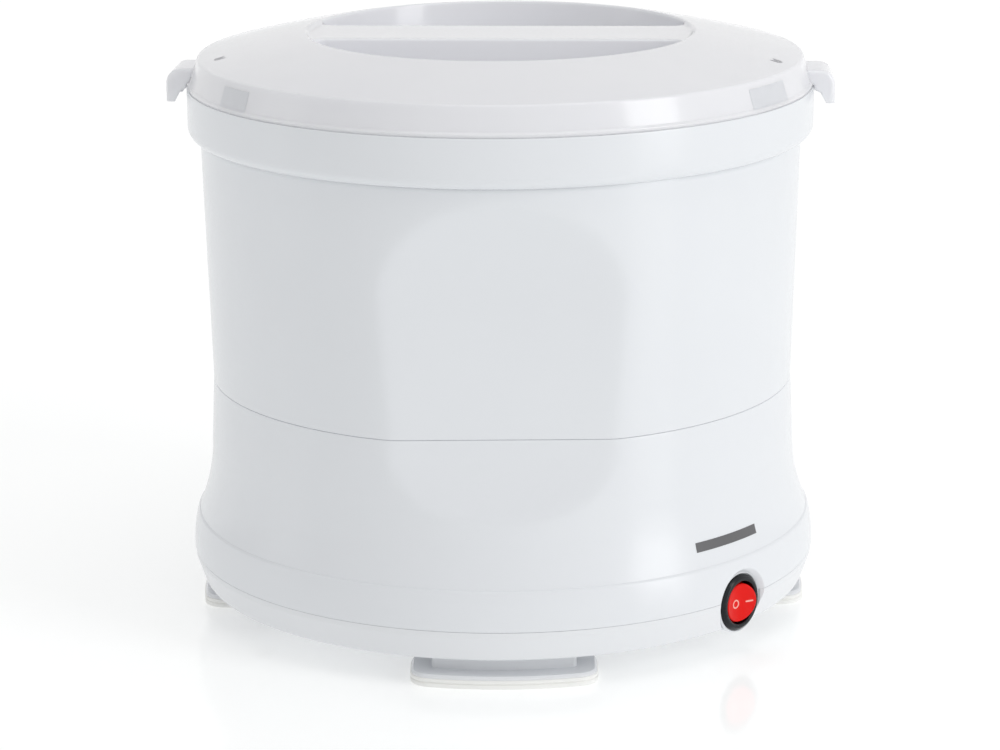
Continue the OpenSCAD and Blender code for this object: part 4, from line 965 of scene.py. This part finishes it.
# %% Bowl with its ribs
RIBS, RIB_R, RIB_SUNK, RIB_END = 6, 0.0030, 0.0006, 0.012
BOWL_COLS = 360
bowl_grid = revolve(bowl_outline, BOWL_COLS)
angle = np.linspace(0, 2 * math.pi, BOWL_COLS, endpoint=False)
phase = (angle * RIBS / (2 * math.pi)) % 1 - 0.5
sideways = phase * 2 * math.pi / RIBS * BOWL_R
bump = np.sqrt(np.clip(RIB_R**2 - sideways**2, 0, None)) - RIB_SUNK
row_r, row_z = bowl_outline.T
ribbed = (row_z > BOWL_FLOOR + RIB_END) & (row_z < RIM_Z - RIB_END)
ribbed &= np.abs(row_r - BOWL_R) < 1e-6
shrink = 1 - np.clip(bump, 0, None)[None, :] * ribbed[:, None] / BOWL_R
bowl_grid[..., :2] *= shrink[..., None]
new_piece("bowl_moulding", [part(bowl_grid)], "bowl", white, "white_plastic", ["bowl"])

# %% [markdown]
# ## Lid
#
# The lid is a shallow dome with a round recess, and a bar left standing across it to hold it
# by. Each half of the recess is a D with rounded corners. Cutting two D's out of a dome leaves
# a rough rim, and the rim is what catches the light. So the walls of a D are one profile
# carried along its outline, and the surface round it is made of rings: from the floor up the
# wall, over the rim, and out to a half circle, where the turned part of the dome begins.

# %% Sizes of the lid
LID_Z = cad_high.z
EDGE_Z = LID_Z - 0.0096
LID_EDGE_R = 0.1233
LID_WALL = 0.0022
LID_TURN = math.radians(-3.0)
RECESS_R, RECESS_DEEP, BAR_HALF = 0.0790, 0.0170, 0.01825
RECESS_CORNER, RIM_ROUND, FOOT_ROUND, DRAFT = 0.0060, 0.0013, 0.0025, 0.0020
BAR_DROP, BAR_STEP = 0.0014, 0.0018
JOIN_R = RECESS_R + 0.0060
CHORD_COLS, ARC_COLS, CORNER_COLS, CORNER_LINE = 72, 132, 44, 22
INWARD, WALL_ROWS, ROUND_ROWS, OUTWARD = 7, 7, 8, 14
print("lid from", round(RIM_Z, 4), "to", round(LID_Z, 4))

# %% [markdown]
# The lid is set on with a slight turn, and its dome is a function of the radius alone. The bar
# lies a little lower than the rim, so a smooth step leads down to it.


# %% Turn and dome of the lid
def lid_turned(points):
    """Points of the lid, turned about the upright axis by the angle at which it is set on."""
    c, s = math.cos(LID_TURN), math.sin(LID_TURN)
    x, y, z = points[..., 0], points[..., 1], points[..., 2]
    return np.stack([x * c - y * s, x * s + y * c, z], axis=-1)


def dome_height(r):
    """Height of the dome: flat over the recess, then an arc of radius
    (h * h + w * w + 2 * w * r0) / 2h that falls h over the width w outside radius r0. Inside
    the recess's rim, where only the bar is left, it is lower by a smooth step."""
    rise, run = LID_Z - EDGE_Z, LID_EDGE_R - RECESS_R
    big = (rise**2 + run**2 + 2 * run * RECESS_R) / (2 * rise)
    fall = np.sqrt(big**2 - RECESS_R**2) - np.sqrt(big**2 - np.maximum(r, RECESS_R) ** 2)
    share = np.clip((RECESS_R + BAR_STEP / 4 - r) / BAR_STEP, 0, 1)
    return LID_Z - fall - BAR_DROP * share**2 * (3 - 2 * share)


print("dome falls", round(float(LID_Z - dome_height(np.array(LID_EDGE_R))), 4))

# %% [markdown]
# The D and the half circle round it have equally many points, each opposite its own, so that
# straight lines between them make the top of the lid without a gap or a fold.


# %% Outlines of the recess
def towards_angle(turn):
    """Unit vectors (cos, sin) at the given angles."""
    return np.column_stack([np.cos(turn), np.sin(turn)])


def skeleton_end():
    """End of the D's skeleton: the corner radius inside its chord and inside its arc. Gives the
    radius and the angle of that point."""
    base_r = RECESS_R - RECESS_CORNER
    return base_r, math.asin((BAR_HALF + RECESS_CORNER) / base_r)


def d_outline(grow):
    """Outline of the D, grown outwards: every point of its skeleton plus (corner radius +
    grow) times the outward normal there. The skeleton is the D drawn in by the corner radius."""
    base_r, end = skeleton_end()
    x_end, y_end = base_r * math.cos(end), base_r * math.sin(end)
    chord = np.column_stack([np.linspace(-x_end, x_end, CHORD_COLS), np.full(CHORD_COLS, y_end)])
    turn_1 = np.linspace(-math.pi / 2, end, CORNER_COLS + 2)[1:-1]
    turn_2 = np.linspace(end, math.pi - end, ARC_COLS)
    turn_3 = np.linspace(math.pi - end, 1.5 * math.pi, CORNER_COLS + 2)[1:-1]
    turn = np.concatenate([np.full(CHORD_COLS, -math.pi / 2), turn_1, turn_2, turn_3])
    corner = np.ones((CORNER_COLS, 2))
    arc = base_r * towards_angle(turn_2)
    skeleton = np.concatenate([chord, corner * (x_end, y_end), arc, corner * (-x_end, y_end)])
    return skeleton + (RECESS_CORNER + grow) * towards_angle(turn)


def half_disc():
    """The half circle of radius JOIN_R with as many points as the D, each opposite its own."""
    base_r, end = skeleton_end()
    x_end = base_r * math.cos(end)
    chord = np.column_stack([np.linspace(-x_end, x_end, CHORD_COLS), np.zeros(CHORD_COLS)])
    line_x = np.linspace(x_end, JOIN_R, CORNER_LINE + 2)[1:]
    line = np.column_stack([line_x, 0 * line_x])
    bend = JOIN_R * towards_angle(np.linspace(0, end, CORNER_COLS - CORNER_LINE + 1)[1:-1])
    right = np.concatenate([line, bend])
    arc = JOIN_R * towards_angle(np.linspace(end, math.pi - end, ARC_COLS))
    return np.concatenate([chord, right, arc, right[::-1] * (-1, 1)])


print("points round a D:", len(d_outline(0)), "and round the half disc:", len(half_disc()))

# %% [markdown]
# The recess's wall leans a little, as a moulding must to leave its tool, and is rounded at its
# foot and over its rim. The same profile serves all round the D. The other half is the mirror
# image of the first.

# %% Rings of one half of the recess
def recess_rows():
    """Rows of (grow, drop) up the wall of a D: a quarter round at its foot, the drafted wall,
    and a quarter round over its rim."""
    bend = np.linspace(0, math.pi / 2, ROUND_ROWS)
    foot_rows = np.column_stack([-DRAFT - FOOT_ROUND * (1 - np.sin(bend)),
                                 RECESS_DEEP - FOOT_ROUND * (1 - np.cos(bend))])
    grow = np.linspace(-DRAFT, 0, WALL_ROWS + 2)[1:-1]
    drop = np.linspace(RECESS_DEEP - FOOT_ROUND, RIM_ROUND, WALL_ROWS + 2)[1:-1]
    rim_rows = RIM_ROUND * (1 - towards_angle(bend))
    return np.concatenate([foot_rows, np.column_stack([grow, drop]), rim_rows])


def recess_half():
    """Grid of the half with y > 0, from the middle of its floor to the half circle."""
    rows = recess_rows()
    outlines = np.array([d_outline(g) for g in rows[:, 0]])
    middle = np.array([0.0, (BAR_HALF + RECESS_R) / 2])
    floor_rows = mix(middle, outlines[0], np.linspace(0, 1, INWARD + 1)[:-1, None, None])
    outward = np.linspace(0, 1, OUTWARD + 1)[1:, None, None]
    top_rows = mix(outlines[-1], half_disc(), outward)
    xy = np.concatenate([floor_rows, outlines, top_rows])
    drop = np.concatenate([np.full(INWARD, rows[0, 1]), rows[:, 1], np.zeros(OUTWARD)])
    z = dome_height(np.hypot(xy[..., 0], xy[..., 1])) - drop[:, None]
    return np.concatenate([xy, z[..., None]], axis=-1)


back_half = recess_half()
front_half = back_half * (1, -1, 1)
print("rings of a half:", back_half.shape[0])

# %% [markdown]
# The rest of the lid is turned: the dome, the soft crease at its edge and the skirt, which
# widens down to a small bead that rests on the collar. Its columns stand at the angles of the
# half circles' points, so the two halves and the turned part close up into one skin. A Solidify
# modifier adds its wall inwards, equally thick everywhere.

# %% Dome, skirt and the skin of the lid
SKIRT_R = COLLAR_R - 0.0004
DOME_END_R = LID_EDGE_R - 0.0030
CREASE_OUT, CREASE_DOWN, CREASE_ROUND = 0.0002, 0.0001, 0.0015
BEAD_TOP, BEAD_H, BEAD_OUT, SKIRT_GAP = 0.0022, 0.0014, 0.0009, 0.00004
SKIN_WELD, SKIN_CREASE = 2e-6, math.radians(60)

dome_r = np.linspace(JOIN_R, DOME_END_R, 26)
dome_rows = np.column_stack([dome_r, dome_height(dome_r)])
skirt_rows = rounded([(DOME_END_R, dome_height(DOME_END_R), 0),
                      (LID_EDGE_R + CREASE_OUT, EDGE_Z - CREASE_DOWN, CREASE_ROUND),
                      (SKIRT_R - BEAD_OUT, RIM_Z + BEAD_TOP, 0.0006),
                      (SKIRT_R, RIM_Z + BEAD_H, 0.0005),
                      (SKIRT_R, RIM_Z + SKIRT_GAP, 0)], steps=8, closed=False)
half_arc = half_disc()
on_arc = np.abs(np.hypot(half_arc[:, 0], half_arc[:, 1]) - JOIN_R) < 1e-9
arc_angles = np.sort(np.arctan2(half_arc[on_arc, 1], half_arc[on_arc, 0]))
all_angles = np.concatenate([arc_angles, -arc_angles[-2:0:-1]])
lid_outline = np.concatenate([dome_rows, skirt_rows[1:]])
lid_r, lid_z = lid_outline[:, 0, None], lid_outline[:, 1, None]
dome_grid = np.stack([lid_r * np.cos(all_angles), lid_r * np.sin(all_angles),
                      lid_z + 0 * all_angles], axis=-1)
lid_parts = [part(lid_turned(back_half), loop_rows=False, flip=True),
             part(lid_turned(front_half), loop_rows=False, flip=False),
             part(lid_turned(dome_grid), loop_rows=False, flip=True)]
lid = new_piece("lid_skin", lid_parts, "lid", lid_milky, "clear_lid", ["lid"],
                weld=SKIN_WELD, crease=SKIN_CREASE)


def thicken(piece, wall, even):
    """A Solidify modifier that adds a wall inwards. Even keeps it as thick round the bends."""
    thick = piece.modifiers.new("wall", "SOLIDIFY")
    thick.thickness = wall
    thick.offset = -1.0
    thick.use_even_offset = even


thicken(lid, LID_WALL, even=True)

# %% [markdown]
# Inside the skirt sit two lock lugs, and they show through it as two darker fields: the lugs
# themselves and the shade they make in the skirt. Lugs behind a wall that is hardly see-through
# would be lost in it, so they are films in the skirt's face, darker by painted shade, which take
# their radius from the skirt's own outline.

# %% Lug shade fields
# Darker films on the skirt's face: the lugs behind it, painted with their shade.
LUG_SHADE_FIELDS = [(math.radians(-145.6), math.radians(4.3)), (math.radians(-33.35), math.radians(6.2))]
FIELD_OUT, FIELD_IN = 0.00006, 0.0004
field_z = np.linspace(RIM_Z + 0.0012, EDGE_Z - 0.0026, 10)[:, None]
field_r = np.interp(field_z, skirt_rows[::-1, 1], skirt_rows[::-1, 0])
shade_field_parts = []
for middle, half in LUG_SHADE_FIELDS:
    sweep = middle + np.linspace(-half, half, 12)[None, :]
    shade_field_parts += film(turned_sheet(field_r + FIELD_OUT, sweep, field_z),
                        turned_sheet(field_r - FIELD_IN, sweep, field_z))
new_piece("lid_lug_shade_fields", shade_field_parts, "lid", lug_shade_milky, "clear_lid")

# %% [markdown]
# Two pairs of tiny grey bars on the dome's edge show where the lid locks. They are films too,
# and lean a little apart.

# %% Lock marks
LOCK_MARKS = [(math.radians(-168.0), 0.1152), (math.radians(-18.8), 0.1162)]
BARS_APART, BAR_TURN, BAR_DEEP, BAR_LEAN = 0.011, 0.006, 0.0016, 0.0006
step = np.linspace(-1, 1, 6)
mark_parts = []
for middle, mark_r in LOCK_MARKS:
    for shift in (-1, 1):
        sweep = middle + shift * BARS_APART + BAR_TURN * step[None, :]
        r = mark_r - BAR_DEEP * step[:, None] - shift * BAR_LEAN * step[None, :]
        mark_parts += film(turned_sheet(r, sweep, dome_height(r) + PRINT_OUT),
                           turned_sheet(r, sweep, dome_height(r) - PRINT_IN))
new_piece("lid_lock_marks", mark_parts, "lid", mark_grey, "badge_grey")

# %% [markdown]
# ### Ears
#
# On both sides a hook ear hangs over the collar. It is a thin shell, open underneath: a top
# that springs from the middle of the skirt, an outer wall with a hook, and two side webs. A
# block with its inside cut away would do, but a strip whose ends turn down into the webs,
# carried from the lid to the hook, has round edges all along and one even wall.

# %% Ears
EAR_TOP, EAR_WALL, EAR_SIDE_ROUND = EDGE_Z - 0.0052, 0.0020, 0.0016
EAR_HALF, EAR_R, EAR_LOW, EAR_ROUND = 0.0125, 0.1360, EAR_TOP - 0.0134, 0.0060
EAR_IN, EAR_ROOT_R = COLLAR_R - 0.0003, LID_EDGE_R - 0.003
WEB_ROOT_Z, WEB_IN_Z = RIM_Z + 0.0011, RIM_Z + 0.0007
HOOK_TOP, HOOK_IN, HOOK_TIP = EAR_LOW + 0.0055, 0.0026, 0.0034
HOOK_MIDDLE_Z = EAR_LOW + 0.0042
EAR_ROWS, WEB_COLS, FLAT_COLS = 40, 7, 10


def along(points, count):
    """count points spread evenly along a line through points."""
    step = np.linalg.norm(np.diff(points, axis=0), axis=1)
    run = np.concatenate([[0], np.cumsum(step)])
    at = np.linspace(0, run[-1], count)
    return np.column_stack([np.interp(at, run, points[:, k]) for k in range(2)])


def ear_part(side):
    """Rows run from the lid to the hook. Columns run from the inner edge of the front web up
    to the outer line, across it, and down the back web to its inner edge."""
    outer = rounded([(EAR_ROOT_R, EAR_TOP, 0), (EAR_R, EAR_TOP, EAR_ROUND),
                     (EAR_R, EAR_LOW, 0)], steps=10, closed=False)
    inner = rounded([(EAR_ROOT_R, WEB_ROOT_Z, 0), (EAR_IN, WEB_IN_Z, 0.0002),
                     (EAR_IN, HOOK_TOP, 0.0003), (EAR_IN + HOOK_IN, HOOK_MIDDLE_Z, 0.0006),
                     (EAR_R - HOOK_TIP, EAR_LOW, 0)], steps=5, closed=False)
    outer, inner = along(outer, EAR_ROWS), along(inner, EAR_ROWS)
    across = outer - inner
    across /= np.linalg.norm(across, axis=1, keepdims=True)
    bend = np.linspace(0, math.pi / 2, 6)
    web_share = np.linspace(0, 1, WEB_COLS)[:, None, None]
    web = mix(inner, outer - across * EAR_SIDE_ROUND, web_share)
    web_y = np.full(WEB_COLS, -EAR_HALF)
    arc = outer - across * EAR_SIDE_ROUND * (1 - np.sin(bend))[:, None, None]
    arc_y = -EAR_HALF + EAR_SIDE_ROUND * (1 - np.cos(bend))
    flat_half = EAR_HALF - EAR_SIDE_ROUND
    flat_y = np.linspace(-flat_half, flat_half, FLAT_COLS + 2)[1:-1]
    flat = np.broadcast_to(outer, (FLAT_COLS, *outer.shape))
    xz = np.concatenate([web, arc[1:], flat, arc[:0:-1], web[::-1]])
    y = np.concatenate([web_y, arc_y[1:], flat_y, -arc_y[:0:-1], -web_y])
    x, y, z = side * xz[..., 0], np.broadcast_to(y[:, None], xz.shape[:2]), xz[..., 1]
    grid = lid_turned(np.stack([x, y, z], axis=-1))
    return part(grid, loop_rows=False, loop_cols=False, flip=side < 0)


ears = new_piece("lid_ears", [ear_part(1), ear_part(-1)], "lid", lid_milky, "clear_lid")
thicken(ears, EAR_WALL, even=False)
print("ears reach", EAR_R)

# %% [markdown]
# ### Foot pads
#
# Each foot stands on a pad of soft elastomer with a groove round it and a shallow hollow under
# it. The outer side of a pad is an arc about the machine's axis, and its inner side is
# straight. The front and back pads are wider than those at the sides. A bevelled block would
# have no groove. Here one profile of the edge is carried round the outline of the pad, drawn
# in at each point by the profile's inset, and both faces close to a point in the middle.

# %% Foot pads
PAD_W, SIDE_PAD_W, PAD_D, PAD_H, PAD_CORNER = 0.0740, 0.0500, 0.0320, 0.0036, 0.0090
PAD_OUT = BASE_R - 0.0033
PAD_MIDDLE = PAD_OUT - PAD_D / 2
HOLLOW_IN, HOLLOW_EDGE, HOLLOW_H = 0.0045, 0.0040, 0.0008
GROOVE_LOW, GROOVE_HIGH, GROOVE_DEEP, GROOVE_LEAN = 0.0016, 0.0023, 0.0006, 0.0002
PAD_EDGE, TOP_ROUND, TOP_IN = 0.0004, 0.0008, 0.0050


def foot_outline(width, inset):
    """Outline of a pad that lies towards +X, drawn in by inset: an arc about the axis, round
    corners whose centres stay, and a straight inner side."""
    corner = PAD_CORNER - inset
    y, near = width / 2 - PAD_CORNER, PAD_OUT - PAD_D + PAD_CORNER
    turn = math.asin(y / (PAD_OUT - PAD_CORNER))
    far = (PAD_OUT - PAD_CORNER) * math.cos(turn)
    a = np.linspace(0, turn, 20)[:-1]
    b = np.linspace(turn, math.pi / 2, 10)
    c = np.linspace(math.pi / 2, math.pi, 10)
    half = np.concatenate([
        (PAD_OUT - inset) * towards_angle(a),
        np.array([far, y]) + corner * towards_angle(b),
        np.array([near, y]) + corner * towards_angle(c),
        np.column_stack([np.full(5, near - corner), np.linspace(y, 0, 6)[1:]])])
    return np.concatenate([half, half[-2:0:-1] * (1, -1)])


def foot_part(profile, width, quarter):
    """A closed profile of (inset, height) carried round a foot, with both middles closed. The
    foot is turned by a number of quarters from +X."""
    rings = np.array([foot_outline(width, i) for i in profile[:, 0]])
    z = np.broadcast_to(profile[:, 1, None, None], (*rings.shape[:2], 1))
    grid = np.concatenate([rings, z], axis=-1)
    middle = np.zeros_like(grid[:1]) + (PAD_MIDDLE, 0, 0)
    grid = np.concatenate([middle + (0, 0, profile[0, 1]), grid, middle + (0, 0, profile[-1, 1])])
    c, s = round(math.cos(quarter * math.pi / 2)), round(math.sin(quarter * math.pi / 2))
    x, y = grid[..., 0], grid[..., 1]
    return part(np.stack([x * c - y * s, x * s + y * c, grid[..., 2]], axis=-1), loop_rows=False)


pad_rows = rounded([(HOLLOW_IN, HOLLOW_H, 0.0003), (HOLLOW_EDGE, 0, PAD_EDGE), (0, 0, 0.0005),
                    (0, GROOVE_LOW, PAD_EDGE), (GROOVE_DEEP, GROOVE_LOW + GROOVE_LEAN, 0.0002),
                    (GROOVE_DEEP, GROOVE_HIGH - GROOVE_LEAN, 0.0002), (0, GROOVE_HIGH, PAD_EDGE),
                    (0, PAD_H, TOP_ROUND), (TOP_IN, PAD_H, 0)], steps=4, closed=False)
FEET = [(0, SIDE_PAD_W), (1, PAD_W), (2, SIDE_PAD_W), (3, PAD_W)]
pad_parts = [foot_part(pad_rows, width, quarter) for quarter, width in FEET]
new_piece("foot_pads_soft", pad_parts, "base", pad_soft, "pad_rubber", ["foot_pads"])

# %% [markdown]
# ## Finishes of the other pieces
#
# The bearings, screws, motor and wiring keep their solids, since they are plain machined or
# pressed shapes. What tells them apart is the finish: turned and plated metal, stacked sheets,
# wound wire and grit. Each is built of the same nodes, and each piece gets its own by the slot
# that the record gives it.

# %% Metals and other finishes
TOOL_WAVES, TOOL_DEEP, TOOL_VARY = 10.0, 0.00004, 0.3
WAVE_TURNS = 20
GRIT_CELLS, GRIT_DEEP = 900.0, 0.0005


def metal(name, light, dark, roughness, scratch=(60.0, 60.0, 60.0), relief=0.15):
    """Worked metal: a noise stretched along the tool's marks varies colour, gloss and relief."""
    material, nodes, links, shader, coordinates = new_material(name)
    marks = add_noise(nodes, links, coordinates, TOOL_WAVES, detail=6.0, stretch=scratch)
    links.new(add_tint(nodes, links, add_range(nodes, links, marks, 0, 1), dark, light),
              shader.inputs["Base Color"])
    gloss = (roughness * (1 - TOOL_VARY), roughness * (1 + TOOL_VARY))
    links.new(add_range(nodes, links, marks, *gloss), shader.inputs["Roughness"])
    add_bump(nodes, links, marks, shader, relief, TOOL_DEEP)
    shader.inputs["Metallic"].default_value = 1.0
    return material


def banded(name, light, dark, period, direction, roughness, metallic):
    """Thin layers or windings: bands of the given period along one axis, in colour and relief.
    The wave node turns by WAVE_TURNS x scale radians a metre, so scale is 2 pi / period / 20."""
    material, nodes, links, shader, coordinates = new_material(name)
    wave = nodes.new("ShaderNodeTexWave")
    wave.bands_direction = direction
    wave.inputs["Scale"].default_value = 2 * math.pi / period / WAVE_TURNS
    wave.inputs["Distortion"].default_value = 0.4
    links.new(coordinates.outputs["Object"], wave.inputs["Vector"])
    links.new(add_tint(nodes, links, wave.outputs["Fac"], dark, light), shader.inputs["Base Color"])
    add_bump(nodes, links, wave.outputs["Fac"], shader, 0.5, period / 4)
    shader.inputs["Roughness"].default_value = roughness
    shader.inputs["Metallic"].default_value = metallic
    return material


def gritty(name, light, dark):
    """Abrasive coat: close-set grains from a cell pattern, deep relief and a dull face."""
    material, nodes, links, shader, coordinates = new_material(name)
    cells = nodes.new("ShaderNodeTexVoronoi")
    cells.inputs["Scale"].default_value = GRIT_CELLS
    links.new(coordinates.outputs["Object"], cells.inputs["Vector"])
    grain = add_range(nodes, links, cells.outputs["Distance"], 1.0, 0.0, 0.0, 0.7)
    links.new(add_tint(nodes, links, grain, dark, light), shader.inputs["Base Color"])
    links.new(add_range(nodes, links, grain, 0.95, 0.6, 0, 1), shader.inputs["Roughness"])
    add_bump(nodes, links, grain, shader, 1.0, GRIT_DEEP)
    return material


print("kinds of finish:", [kind.__name__ for kind in (plastic, milky, metal, banded, gritty)])

# %% [markdown]
# One table lists every finish by its slot, with its light and dark colour and its roughness.

# %% Finishes by slot
FINISHES = {
    "white_plastic": white,
    "cover_plastic": white_cover,
    "pad_rubber": pad_soft,
    "disc_plastic": plastic("disc_plastic", (0.34, 0.35, 0.36), (0.3, 0.31, 0.32), 0.45),
    "abrasive_grit": gritty("abrasive_grit", (0.2, 0.2, 0.21), (0.05, 0.05, 0.055)),
    "acetal": plastic("acetal", (0.8, 0.78, 0.7), (0.76, 0.74, 0.66), 0.35),
    "badge_grey": badge_grey,
    "black_plastic": plastic("black_plastic", (0.03, 0.03, 0.032), (0.02, 0.02, 0.022), 0.4),
    "black_gloss": black_gloss,
    "red_gloss": red_gloss,
    "black_rubber": plastic("black_rubber", (0.03, 0.03, 0.03), (0.018, 0.018, 0.018), 0.7,
                            ripple=0.8),
    "steel": metal("turned_steel", (0.66, 0.67, 0.69), (0.5, 0.51, 0.53), 0.28,
                   scratch=(4, 4, 160)),
    "zinc_plate": metal("zinc_plate", (0.7, 0.71, 0.74), (0.55, 0.56, 0.58), 0.38),
    "core_steel": banded("laminated_core", (0.36, 0.35, 0.34), (0.16, 0.155, 0.15),
                         period=0.0005, direction="Z", roughness=0.5, metallic=0.8),
    "bronze": metal("sintered_bronze", (0.62, 0.42, 0.2), (0.42, 0.27, 0.12), 0.45, relief=0.4),
    "copper": banded("enamelled_copper", (0.7, 0.3, 0.12), (0.36, 0.13, 0.05),
                     period=0.0006, direction="Z", roughness=0.3, metallic=0.7),
    "carbon": plastic("pressed_carbon", (0.06, 0.06, 0.06), (0.03, 0.03, 0.03), 0.6),
    "capacitor_yellow": plastic("capacitor_case", (0.62, 0.45, 0.05), (0.55, 0.39, 0.04), 0.3),
    "clear_lid": lid_milky,
}
slot_of = {row["node"]: row["material_slot"] for row in record["subparts"]}
for name, node in frame["nodes"].items():
    if not node.hide_render:
        node.data.materials.clear()
        node.data.materials.append(FINISHES[slot_of[name]])
print("finishes:", len(FINISHES))
